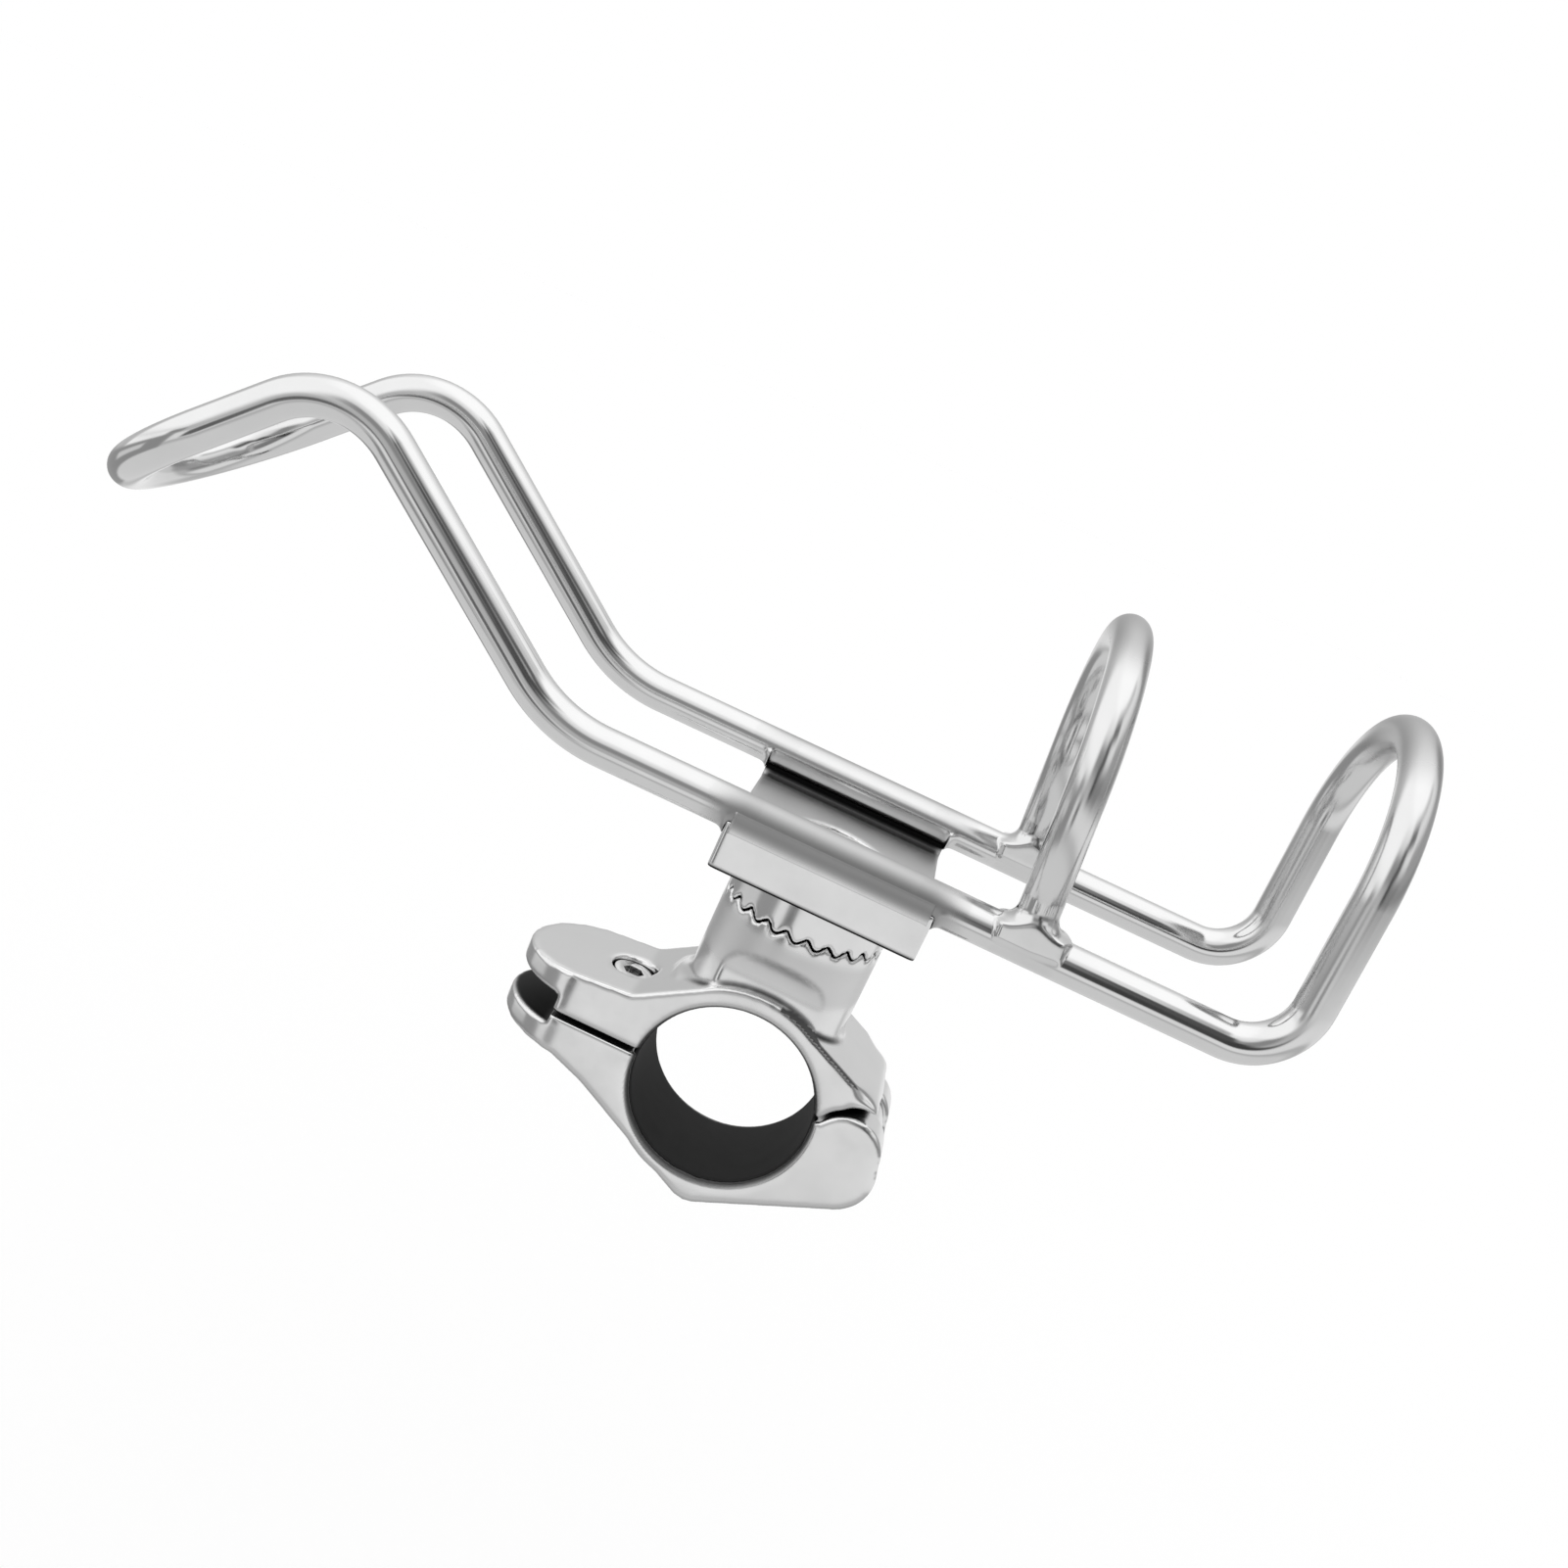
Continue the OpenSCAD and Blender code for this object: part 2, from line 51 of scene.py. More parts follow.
FORWARD = Vector((-0.02673, 0.96247, -0.27008)).normalized()
RIGHT = Vector((0.90556, 0.13774, 0.40122)).normalized()
RIGHT = (RIGHT - FORWARD * RIGHT.dot(FORWARD)).normalized()
UP = RIGHT.cross(FORWARD)

camera_data = bpy.data.cameras.new("photo_camera")
camera_data.sensor_fit = "AUTO"
camera_data.sensor_width = SENSOR
camera_data.lens = LENS
camera_data.clip_start = 0.01
camera_data.clip_end = 50
camera = bpy.data.objects.new("photo_camera", camera_data)
bpy.context.scene.collection.objects.link(camera)
bpy.context.scene.camera = camera
axes = Matrix((RIGHT, UP, -FORWARD)).transposed().to_4x4()
camera.matrix_world = Matrix.Translation(EYE) @ axes


# ---- The cradle's rod -------------------------------------------------------------------
# One 8 mm bar of drawn 316 stainless steel, bent cold to two level arms, a drooping front
# loop and an upright rear hoop. Its ends are butt-welded under the block and ground flush,
# and it is buffed with a mop until it mirrors the room.
def linear(code):
    """sRGB hex to linear light: c / 12.92 below 0.04045, else ((c + 0.055) / 1.055) ^ 2.4."""
    c = np.array([int(code[i : i + 2], 16) for i in (1, 3, 5)]) / 255
    light = np.where(c <= 0.04045, c / 12.92, ((c + 0.055) / 1.055) ** 2.4)
    return (*[float(v) for v in light], 1.0)


def add(tree, kind, sockets=None, **settings):
    """Adds one node; each named socket takes a value, or a link from another socket."""
    made = tree.nodes.new(kind)
    for key, value in settings.items():
        setattr(made, key, value)
    for key, value in (sockets or {}).items():
        if isinstance(value, bpy.types.NodeSocket):
            tree.links.new(value, made.inputs[key])
        else:
            made.inputs[key].default_value = value
    return made


def blank_material(name):
    """A material with an empty node tree and its output."""
    made = bpy.data.materials.new(name)
    made.use_nodes = True
    made.node_tree.nodes.clear()
    return made, made.node_tree, add(made.node_tree, "ShaderNodeOutputMaterial")


# Painted shade: where nearby walls hide its sky, or where its "skin" mark says so, the steel
# is painted a near-black grey and left dull; where it is only ground it is satin. Polish
# leaves smears 11 mm across, and lines far finer than 0.03 mm deep. The painted shade starts
# where a place sees half of its sky, and is full at a fifth.
SHADE_GREY, SKIN_ROUGH, GROUND_ROUGH = "#161616", 0.6, 0.42
SMEARS_A_METRE, LINE_DEPTH, LINE_STRENGTH = 90, 0.00003, 0.06
SHADE_FROM, SHADE_FULL = 0.50, 0.22


def polished_steel(
    name, light, dark, rough, wave_mm, wave_depth_mm, lines_a_metre, shade_reach_mm, along="Object"
):
    """Buffed stainless steel: a metal whose colour drifts a little between two greys, whose
    roughness comes from smears of polish, and whose bump is a slow wave plus fine lines.
    The lines follow the piece's UV map or its object axes. Where walls closer than its reach
    in mm hide a place, or its attribute "skin" says so, shade is painted: a near-black grey,
    left dull. Where its attribute "dull" rises to 1, the steel is only ground, and satin."""
    made, tree, out = blank_material(name)
    coordinates = add(tree, "ShaderNodeTexCoord").outputs
    place = coordinates["Object"]
    smears = add(
        tree,
        "ShaderNodeTexNoise",
        {"Vector": place, "Scale": SMEARS_A_METRE, "Detail": 5, "Roughness": 0.6},
    )
    colour = add(
        tree,
        "ShaderNodeMix",
        {0: smears.outputs["Fac"], 6: linear(light), 7: linear(dark)},
        data_type="RGBA",
    )
    # Painted shade: dark and dull where nearby walls hide the sky, and where the skin mark
    # says so.
    open_sky = add(
        tree, "ShaderNodeAmbientOcclusion", {"Distance": shade_reach_mm / 1000}, samples=8
    )
    occlusion_shade = add(
        tree,
        "ShaderNodeMapRange",
        {"Value": open_sky.outputs["AO"], "From Min": SHADE_FROM, "From Max": SHADE_FULL},
        interpolation_type="SMOOTHSTEP",
    )
    skin = add(tree, "ShaderNodeAttribute", attribute_name="skin").outputs["Fac"]
    dull = add(tree, "ShaderNodeAttribute", attribute_name="dull").outputs["Fac"]
    shade_amount = add(
        tree, "ShaderNodeMath", {0: occlusion_shade.outputs["Result"], 1: skin}, operation="MAXIMUM"
    ).outputs[0]
    shaded_colour = add(
        tree,
        "ShaderNodeMix",
        {0: shade_amount, 6: colour.outputs[2], 7: linear(SHADE_GREY)},
        data_type="RGBA",
    )
    stretched = add(
        tree, "ShaderNodeMapping", {"Vector": coordinates[along], "Scale": lines_a_metre}
    )
    lines = add(
        tree,
        "ShaderNodeTexNoise",
        {"Vector": stretched.outputs["Vector"], "Scale": 1.0, "Detail": 3},
    )
    wave = add(
        tree, "ShaderNodeTexNoise", {"Vector": place, "Scale": 1000 / wave_mm, "Detail": 1}
    )
    buffed = add(
        tree,
        "ShaderNodeMapRange",
        {
            "Value": smears.outputs["Fac"],
            "From Min": 0.3,
            "From Max": 0.7,
            "To Min": rough[0],
            "To Max": rough[1],
        },
    )
    ground = add(
        tree, "ShaderNodeMix", {0: dull, 2: buffed.outputs["Result"], 3: GROUND_ROUGH}
    )
    roughness = add(tree, "ShaderNodeMix", {0: shade_amount, 2: ground.outputs[0], 3: SKIN_ROUGH})
    slow = add(
        tree,
        "ShaderNodeBump",
        {"Height": wave.outputs["Fac"], "Strength": 0.5, "Distance": wave_depth_mm / 1000},
    )
    fine = add(
        tree,
        "ShaderNodeBump",
        {
            "Height": lines.outputs["Fac"],
            "Strength": LINE_STRENGTH,
            "Distance": LINE_DEPTH,
            "Normal": slow.outputs["Normal"],
        },
    )
    shader = add(
        tree,
        "ShaderNodeBsdfPrincipled",
        {
            "Base Color": shaded_colour.outputs[2],
            "Metallic": 1.0,
            "Roughness": roughness.outputs[0],
            "Normal": fine.outputs["Normal"],
        },
    )
    tree.links.new(shader.outputs["BSDF"], out.inputs["Surface"])
    return made


# Drawn bar takes the best polish: sharp, long reflections that waver every 14 mm. Its lines
# run along it, 0.17 mm wide, as coarse as they must be to show, and 3 mm long.
drawn_steel = polished_steel(
    "polished_drawn_stainless",
    "#D8D8D8",
    "#D0D0D0",
    (0.08, 0.13),
    14.0,
    0.02,
    (6000.0, 300.0, 1.0),
    1.5,
    "UV",
)

# The rod's sizes in millimetres and its angles: its radius, half the distance between the
# arms, their height, then each straight from corner to corner and each bend.
ROD_R, HALF_GAUGE, BAR_Z = 4.0, 27.2, 61.0
REAR_X, LEVEL_LEN, RISE_LEN, LOOP_LEN, REAR_H = 91.0, 149.4, 73.0, 58.6, 61.6
RISE_ANGLE, LOOP_DROOP, REAR_LEAN = np.radians(37.0), np.radians(42.7), np.radians(0.9)
FRONT_BEND, LOWER_BEND, REAR_BEND = 18.5, 30.5, 12.3
LEVEL_POINTS = 110
BACK = np.array([1.0, 0, 0])
SIDE = np.array([0.0, 1.0, 0])
rear_corner = np.array([REAR_X, 0.0, BAR_Z])
lower_corner = rear_corner - [LEVEL_LEN, 0, 0]
rise_dir = np.array([-np.cos(RISE_ANGLE), 0, np.sin(RISE_ANGLE)])
front_corner = lower_corner + RISE_LEN * rise_dir
loop_dir = np.array([-np.cos(LOOP_DROOP), 0, -np.sin(LOOP_DROOP)])
loop_centre = front_corner + (LOOP_LEN - HALF_GAUGE) * loop_dir
rear_dir = np.array([-np.sin(REAR_LEAN), 0, np.cos(REAR_LEAN)])
rear_centre = rear_corner + (REAR_H - HALF_GAUGE) * rear_dir


def bend_points(corner, before, after, radius, steps=24):
    """A bend at a corner: centre + radius times a unit vector that turns evenly from the
    first tangent point to the last. Gives its points and its directions of travel."""
    turn = np.arccos(np.clip(before @ after, -1, 1))
    inward = (after - before) / np.linalg.norm(after - before)
    centre = corner + inward * radius / np.cos(turn / 2)
    start = corner - before * radius * np.tan(turn / 2) - centre
    angle = np.linspace(0, turn, steps)[:, None]
    points = centre + start * np.cos(angle) + radius * before * np.sin(angle)
    return points, before * np.cos(angle) - start / radius * np.sin(angle)


def half_ring_points(centre, outward, side, steps=72):
    """Half a ring from centre + side to centre - side, bulging outward: centre + gauge times
    (side cos a + outward sin a). The first and last points belong to the straights."""
    angle = np.linspace(0, np.pi, steps)[:, None]
    points = centre + HALF_GAUGE * (side * np.cos(angle) + outward * np.sin(angle))
    return points, -side * np.sin(angle) + outward * np.cos(angle)


def one_side(sign):
    """The bends of one long arm, from the front loop to the rear hoop, at y = sign gauge, and
    a point every millimetre or so on the level run between the last two."""
    shift = sign * HALF_GAUGE * SIDE
    runs = [
        bend_points(front_corner + shift, -loop_dir, -rise_dir, FRONT_BEND),
        bend_points(lower_corner + shift, -rise_dir, BACK, LOWER_BEND),
        bend_points(rear_corner + shift, BACK, rear_dir, REAR_BEND),
    ]
    level = np.linspace(runs[1][0][-1], runs[2][0][0], LEVEL_POINTS)[1:-1]
    runs.insert(2, (level, np.repeat([BACK], len(level), 0)))
    points = np.vstack([run[0] for run in runs])
    along = np.vstack([run[1] for run in runs])
    return points, along, np.repeat([sign * SIDE], len(points), 0)


def round_bar(points, along, across, radius, closed, steps=56):
    """A circle carried along a path: point + radius (across cos b + (along x across) sin b),
    as one grid of rows by steps. Open ends get a flat cap with a 0.5 mm worn edge."""
    up = np.cross(along, across)
    scale = np.full(len(points), radius)
    if not closed:
        edge = np.array([0.0, radius - 0.5, radius])
        points = np.vstack([np.repeat(points[:1], 2, 0), points, np.repeat(points[-1:], 2, 0)])
        across = np.vstack([np.repeat(across[:1], 2, 0), across, np.repeat(across[-1:], 2, 0)])
        up = np.vstack([np.repeat(up[:1], 2, 0), up, np.repeat(up[-1:], 2, 0)])
        scale = np.concatenate([edge[:2] + [0.01, 0], scale, edge[1::-1] + [0, 0.01]])
    b = np.linspace(0, 2 * np.pi, steps, endpoint=False)[None, :, None]
    ring = across[:, None] * np.cos(b) + up[:, None] * np.sin(b)
    return points[:, None] + scale[:, None, None] * ring


def grid_mesh(name, grid, closed_rows):
    """A closed mesh on a grid of points in millimetres, each next to its neighbours in its
    row and column. Every row closes; the first and last rows are joined or filled."""
    rows, columns = grid.shape[:2]
    index = np.arange(rows * columns).reshape(rows, columns)
    if closed_rows:
        index = np.vstack([index, index[:1]])
    index = np.hstack([index, index[:, :1]])
    corners = [index[:-1, :-1], index[:-1, 1:], index[1:, 1:], index[1:, :-1]]
    faces = np.stack(corners, -1).reshape(-1, 4)
    mesh = bpy.data.meshes.new(name)
    mesh.from_pydata(grid.reshape(-1, 3) / 1000, [], faces.tolist())
    work = bmesh.new()
    work.from_mesh(mesh)
    if not closed_rows:
        bmesh.ops.holes_fill(work, edges=[e for e in work.edges if e.is_boundary])
    bmesh.ops.recalc_face_normals(work, faces=work.faces)
    work.to_mesh(mesh)
    work.free()
    mesh.polygons.foreach_set("use_smooth", np.ones(len(mesh.polygons), bool))
    return mesh


def lay_lengthwise(mesh, grid):
    """A UV map in metres: u is how far round the bar a point lies, v how far along it. A face
    that closes a loop counts on past the end, so that no face holds a whole turn."""
    rows, columns = grid.shape[:2]
    along = np.linalg.norm(np.diff(grid.mean(1), axis=0, append=grid[:1].mean(1)), axis=1)
    v = np.concatenate([[0.0], np.cumsum(along)]) / 1000
    turn = np.linalg.norm(grid[rows // 2, 0] - grid[rows // 2, columns // 2]) * np.pi / 1000
    corners = np.empty(len(mesh.loops), int)
    mesh.loops.foreach_get("vertex_index", corners)
    starts = np.empty(len(mesh.polygons), int)
    mesh.polygons.foreach_get("loop_start", starts)
    face = np.searchsorted(starts, np.arange(len(corners)), side="right") - 1
    first_row = corners[starts] // columns
    row, column = np.divmod(corners, columns)
    wraps_row = row - first_row[face] < -rows // 2
    low_column = np.minimum.reduceat(column, starts)[face]
    high_column = np.maximum.reduceat(column, starts)[face]
    wraps_column = (high_column - low_column > columns // 2) & (column < columns // 2)
    u = (column + columns * wraps_column) / columns * turn
    uv = np.stack([u, v[np.where(wraps_row, rows, row)]], 1)
    mesh.uv_layers.new(name="lengthwise").data.foreach_set("uv", uv.ravel())


def finished(name, mesh, body, material, nodes=()):
    """Makes a mesh a piece that rides on a body and stands for its CAD nodes."""
    mesh.materials.clear()
    mesh.materials.append(material)
    piece = bpy.data.objects.new(name, mesh)
    bpy.context.scene.collection.objects.link(piece)
    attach(piece, body)
    if nodes:
        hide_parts(*nodes)
    return piece


def grid_piece(name, grid, body, material, closed_rows, nodes=()):
    """Turns a grid of points in millimetres, closed along its columns, into a piece."""
    mesh = grid_mesh(name, grid, closed_rows)
    lay_lengthwise(mesh, grid)
    return finished(name, mesh, body, material, nodes)


near_points, near_along, near_across = one_side(-1)
far_points, far_along, far_across = one_side(1)
rear_points, rear_along = half_ring_points(rear_centre, rear_dir, -SIDE)
loop_points, loop_along = half_ring_points(loop_centre, loop_dir, SIDE)
rear_across = np.cross(rear_along, np.cross(rear_dir, -SIDE))
loop_across = np.cross(loop_along, np.cross(loop_dir, SIDE))
cradle_path = np.vstack([near_points, rear_points, far_points[::-1], loop_points])
cradle_along = np.vstack([near_along, rear_along, -far_along[::-1], loop_along])
cradle_across = np.vstack([near_across, -rear_across, far_across[::-1], -loop_across])
cradle_bar = grid_piece(
    "cradle_bar",
    round_bar(cradle_path, cradle_along, cradle_across, ROD_R, True),
    "head",
    drawn_steel,
    True,
    ["cradle_rod"],
)


def points_of(mesh):
    """A mesh's vertices as an array."""
    flat = np.empty(len(mesh.vertices) * 3)
    mesh.vertices.foreach_get("co", flat)
    return flat.reshape(-1, 3)


def mark(mesh, attribute, amount):
    """Gives each vertex its amount, from 0 to 1, of a mark that the steel's material reads."""
    mesh.attributes.new(attribute, "FLOAT", "POINT").data.foreach_set("value", amount)


def soft_step(value, start, full):
    """0 at start, 1 at full, 3 t^2 - 2 t^3 between them, and level beyond. It falls with the
    value where start is the larger."""
    t = np.clip((value - start) / (full - start), 0, 1)
    return t * t * (3 - 2 * t)


# The arms are welded along the block and ground there, so their outer sides are satin
# between its ends; painted shade darkens them there, most on their outer sides. The hoops are
# a shade less bright than the straights, and their crowns are painted with shade over about
# their top 8 mm.
CROWN_SHADE, HOOP_DULL, REAR_HOOP_X = 0.34, 0.25, 80
REAR_CROWN, MIDDLE_CROWN = (114, 121), (113, 119)
head_low, head_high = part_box("swivel_head")
BLOCK_X = [head_low[0] * 1000, head_high[0] * 1000]


def along_block(x, outside, inside):
    """1 along the block, fading from inside its ends to outside them, in millimetres."""
    low, high = BLOCK_X
    past_low = soft_step(x, low - outside, low + inside)
    return past_low * soft_step(x, high + outside, high - inside)


def ground_and_shaded_along_block(mesh):
    """How satin each vertex is on the ground stretch of an arm, from 7 mm past the block's
    ends to 3 mm inside them, and how much painted shade it takes there. Both grow outwards:
    outward runs from -1 at the bar's inner side to 1 at its outer side."""
    x, y, z = (points_of(mesh) * 1000).T
    stretch = along_block(x, 7, 3) * (z < BAR_Z + 6) * (np.abs(y) > HALF_GAUGE - 6)
    outward = (np.abs(y) - HALF_GAUGE) / ROD_R
    dull = stretch * (0.3 + 0.5 * soft_step(outward, -0.3, 0.9))
    skin = 0.30 * soft_step(outward, -0.9, 0.0) + 0.22 * soft_step(outward, 0.5, 0.95)
    return dull, stretch * skin


in_rear = cradle_path[:, 0] > REAR_HOOP_X
in_rear_hoop = soft_step(cradle_path[:, 2], BAR_Z + 6, BAR_Z + 12) * in_rear
in_rear_crown = soft_step(cradle_path[:, 2], *REAR_CROWN) * in_rear
dull, skin = ground_and_shaded_along_block(cradle_bar.data)
ring = len(dull) // len(cradle_path)
mark(cradle_bar.data, "dull", dull + np.repeat(HOOP_DULL * in_rear_hoop, ring))
# Painted shade on the bar beside the block and on the rear hoop's crown.
mark(cradle_bar.data, "skin", skin + np.repeat(CROWN_SHADE * in_rear_crown, ring))

# ---- The middle hoop --------------------------------------------------------------------
# The same bar bent to a U. Its feet are coped to the long arms and stand on them, leaning
# a little forward, so its ends are out of sight inside the welds.
MID_X, MID_H, MID_LEAN, FOOT_LIFT = 38.7, 57.1, np.radians(5.2), 1.0
mid_dir = np.array([-np.sin(MID_LEAN), 0, np.cos(MID_LEAN)])
mid_foot = np.array([MID_X, 0, BAR_Z])
mid_centre = mid_foot + (MID_H - HALF_GAUGE) * mid_dir
arch_points, arch_along = half_ring_points(mid_centre, mid_dir, -SIDE)
lifted = mid_foot + FOOT_LIFT * mid_dir
hoop_path = np.vstack([lifted - HALF_GAUGE * SIDE, arch_points, lifted + HALF_GAUGE * SIDE])
hoop_along = np.vstack([mid_dir, arch_along, -mid_dir])
hoop_across = np.cross(hoop_along, np.cross(mid_dir, -SIDE))
middle_hoop = grid_piece(
    "middle_hoop_bar",
    round_bar(hoop_path, hoop_along, hoop_across, ROD_R, False),
    "head",
    drawn_steel,
    False,
    ["middle_hoop"],
)
hoop_z = points_of(middle_hoop.data)[:, 2] * 1000
mark(middle_hoop.data, "dull", np.full(len(hoop_z), HOOP_DULL))
# Painted shade on the crown, over its top.
mark(middle_hoop.data, "skin", CROWN_SHADE * soft_step(hoop_z, *MIDDLE_CROWN))


# ---- The castings -----------------------------------------------------------------------
# The block and both jaws are lost-wax castings in 316 stainless: their edges are soft from
# the wax and the buffing mop. Each is the CAD solid, laid out again in a fine even mesh and
# relaxed until its edges round over by about a millimetre.
def laid_out_again(name, node, voxel_mm, joined=()):
    """A copy of a CAD node, merged and laid out again in even squares of voxel_mm, as one
    skin with the meshes joined to it."""
    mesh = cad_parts[node].data.copy()
    work = bmesh.new()
    work.from_mesh(mesh)
    bmesh.ops.remove_doubles(work, verts=work.verts, dist=2e-6)
    for more in joined:
        work.from_mesh(more)
    work.to_mesh(mesh)
    work.free()
    source = bpy.data.objects.new(name + "_source", mesh)
    bpy.context.scene.collection.objects.link(source)
    remesh = source.modifiers.new("layout", "REMESH")
    remesh.mode = "VOXEL"
    remesh.voxel_size = voxel_mm / 1000
    remesh.adaptivity = 0
    graph = bpy.context.evaluated_depsgraph_get()
    made = bpy.data.meshes.new_from_object(source.evaluated_get(graph))
    bpy.data.objects.remove(source)
    made.name = name
    made.polygons.foreach_set("use_smooth", np.ones(len(made.polygons), bool))
    return made


def mean_of_neighbours(mesh):
    """A function that takes an array, one row a vertex, to the mean over each one's
    neighbours."""
    ends = np.empty(len(mesh.edges) * 2, int)
    mesh.edges.foreach_get("vertices", ends)
    a, b = ends.reshape(-1, 2).T
    here, there = np.concatenate([a, b]), np.concatenate([b, a])
    share = np.bincount(here, minlength=len(mesh.vertices))
    return lambda rows: np.stack(
        [np.bincount(here, part[there], len(share)) / share for part in rows.T], 1
    )


def relax(mesh, rounds):
    """Moves each vertex half way to the mean of its neighbours, round after round. A vertex
    whose own number of rounds is k takes part in only the first k."""
    place = points_of(mesh)
    mean = mean_of_neighbours(mesh)
    rounds = np.broadcast_to(rounds, len(place))
    for done in range(int(rounds.max())):
        place += np.where(rounds > done, 0.5, 0.0)[:, None] * (mean(place) - place)
    mesh.vertices.foreach_set("co", place.ravel())
    mesh.update()


# Painted shade: a hollow crease starts to darken at a fillet of 7 mm and takes 0.92 of the
# shade at 2.4 mm; an edge that turns under starts at a round of 8 mm and has its share at
# 2.5 mm.
CREASE_FROM, CREASE_FULL, CREASE_SHADE = 0.14, 0.42, 0.92
ROUND_FROM, ROUND_FULL = 0.12, 0.4


def creases(mesh, voxel_mm, under=0.0):
    """How much painted shade each vertex takes in a hollow crease: its bend is 4 times the
    step to the mean of its neighbours, along the normal, over the square of their spacing,
    which is 1/r for a fillet of radius r mm. Edges that turn under, facing down, take the
    share under."""
    place = points_of(mesh) * 1000
    normal = np.empty(len(place) * 3)
    mesh.vertices.foreach_get("normal", normal)
    normal = normal.reshape(-1, 3)
    mean = mean_of_neighbours(mesh)
    step = ((mean(place) - place) * normal).sum(1, keepdims=True)
    bend = mean(mean(4 * step / voxel_mm**2))
    hollow = soft_step(bend, CREASE_FROM, CREASE_FULL)
    turned_under = soft_step(-bend, ROUND_FROM, ROUND_FULL)
    turned_under = turned_under * soft_step(-normal[:, 2:], 0.02, 0.3)
    return mean(CREASE_SHADE * hollow + under * turned_under)[:, 0]


# Cast steel is a little grainier under the same mop, so its reflections are softer and
# waver every 6 mm. Its lines are 0.2 mm apart, as coarse as they must be to show.
cast_steel = polished_steel(
    "polished_cast_stainless",
    "#E0E0E0",
    "#D8D8D8",
    (0.14, 0.22),
    6.0,
    0.05,
    (5000.0, 5000.0, 700.0),
    5.0,
)
# The block's channel, between the bars, is milled and left satin: it mirrors only a blur,
# with cutter lines 0.4 mm apart.
milled_steel = polished_steel(
    "milled_stainless",
    "#CDCDCD",
    "#C4C4C4",
    (0.42, 0.5),
    8.0,
    0.02,
    (300.0, 2500.0, 300.0),
    0.4,
)

# The block. Its neck under the plate, with the teeth, is relaxed least and stays crisper.
# Painted shade darkens the ledges under the bars, the lower edges of its long faces and its
# creases.
BLOCK_Z, CHANNEL_Z, CHANNEL_Y, BLOCK_Y, LEDGE_Z = 49.8, 55.0, 24.8, 31.4, (55.8, 56.6)
BLOCK_VOXEL, JAW_VOXEL = 0.4, 0.42
CRISP_ROUNDS, BLOCK_ROUNDS = 3, 8
block_mesh = laid_out_again("saddle_block", "swivel_head", BLOCK_VOXEL)
in_neck = points_of(block_mesh)[:, 2] * 1000 < BLOCK_Z - 5
relax(block_mesh, np.where(in_neck, CRISP_ROUNDS, BLOCK_ROUNDS))
saddle_block = finished(
    "saddle_block", block_mesh, "head", cast_steel, ["swivel_head"]
)
x, y, z = (points_of(block_mesh) * 1000).T
# Painted shade: a dark line along the foot of each long face, and on the ledges under the
# bars.
lower_edge_shade = soft_step(np.abs(y), BLOCK_Y - 1.1, BLOCK_Y - 0.7)
lower_edge_shade *= soft_step(z, BLOCK_Z + 0.9, BLOCK_Z + 0.5)
ledge_shade = soft_step(np.abs(y), CHANNEL_Y - 0.5, CHANNEL_Y - 0.2) * soft_step(z, *LEDGE_Z)
ledge_shade *= np.abs(y) < HALF_GAUGE + 1
mark(block_mesh, "skin", np.clip(lower_edge_shade + ledge_shade + creases(block_mesh, BLOCK_VOXEL), 0, 1))

flat = np.empty(len(block_mesh.polygons) * 3)
block_mesh.polygons.foreach_get("center", flat)
face_y, face_z = flat.reshape(-1, 3)[:, 1:].T * 1000
in_channel = (np.abs(face_y) < CHANNEL_Y + 0.15) & (face_z > CHANNEL_Z - 0.3)
block_mesh.materials.append(milled_steel)
block_mesh.polygons.foreach_set("material_index", np.where(in_channel, 1, 0))

# The upper jaw: its teeth and the mouths of its bore and parting stay crisp, and its shoulder
# over the hinge is ground round. The slot in the nose is painted dark as shade, and the boss,
# from the crown up to its teeth, is only ground.
TEETH_Z, PARTING_Z, BORE_CRISP, BORE_MOUTH = 38.8, 1.1, 20.4, (20.3, 19.7)
TIP_X, TIP_Z, TIP_REACH, CROWN_R, JAW_HALF = 29.9, 12.2, (7.5, 3.5), 23.6, 14.5
SLOT_X, SLOT_LOW, SLOT_HIGH = -38.8, -1.3, 5.1
BOSS_FOOT, BOSS_TOP = (25, 28), (38, 35)
SLOT_SHADE, BORE_SHADE, UNDER_SHADE, EDGE_SHADE = 0.97, 0.8, 0.45, 0.85
JAW_ROUNDS, SHOULDER_ROUNDS, LOWER_ROUNDS = 10, 150, 12


def jaw_shade(mesh):
    """The painted shade of a jaw: in its creases, in the mouth of its bore, under its lower
    edges and on the walls of the nose slot."""
    x, y, z = (points_of(mesh) * 1000).T
    slot_shade = soft_step(x, SLOT_X + 0.5, SLOT_X + 0.1)
    slot_shade *= soft_step(z, SLOT_LOW - 0.45, SLOT_LOW - 0.05)
    slot_shade *= soft_step(z, SLOT_HIGH + 0.45, SLOT_HIGH + 0.05)
    bore_mouth = soft_step(np.hypot(x, z), *BORE_MOUTH)
    creased = creases(mesh, JAW_VOXEL, UNDER_SHADE)
    return np.maximum.reduce([slot_shade * SLOT_SHADE, BORE_SHADE * bore_mouth, creased])


upper_mesh = laid_out_again("upper_clamp_jaw", "upper_jaw", JAW_VOXEL)
x, y, z = (points_of(upper_mesh) * 1000).T
shoulder = soft_step(np.hypot(x - TIP_X, z - TIP_Z), *TIP_REACH)
crisp = (z > TEETH_Z - 4.5) | (z < PARTING_Z + 1.6) | (np.hypot(x, z) < BORE_CRISP)
relax(upper_mesh, np.where(crisp, CRISP_ROUNDS, JAW_ROUNDS + SHOULDER_ROUNDS * shoulder))
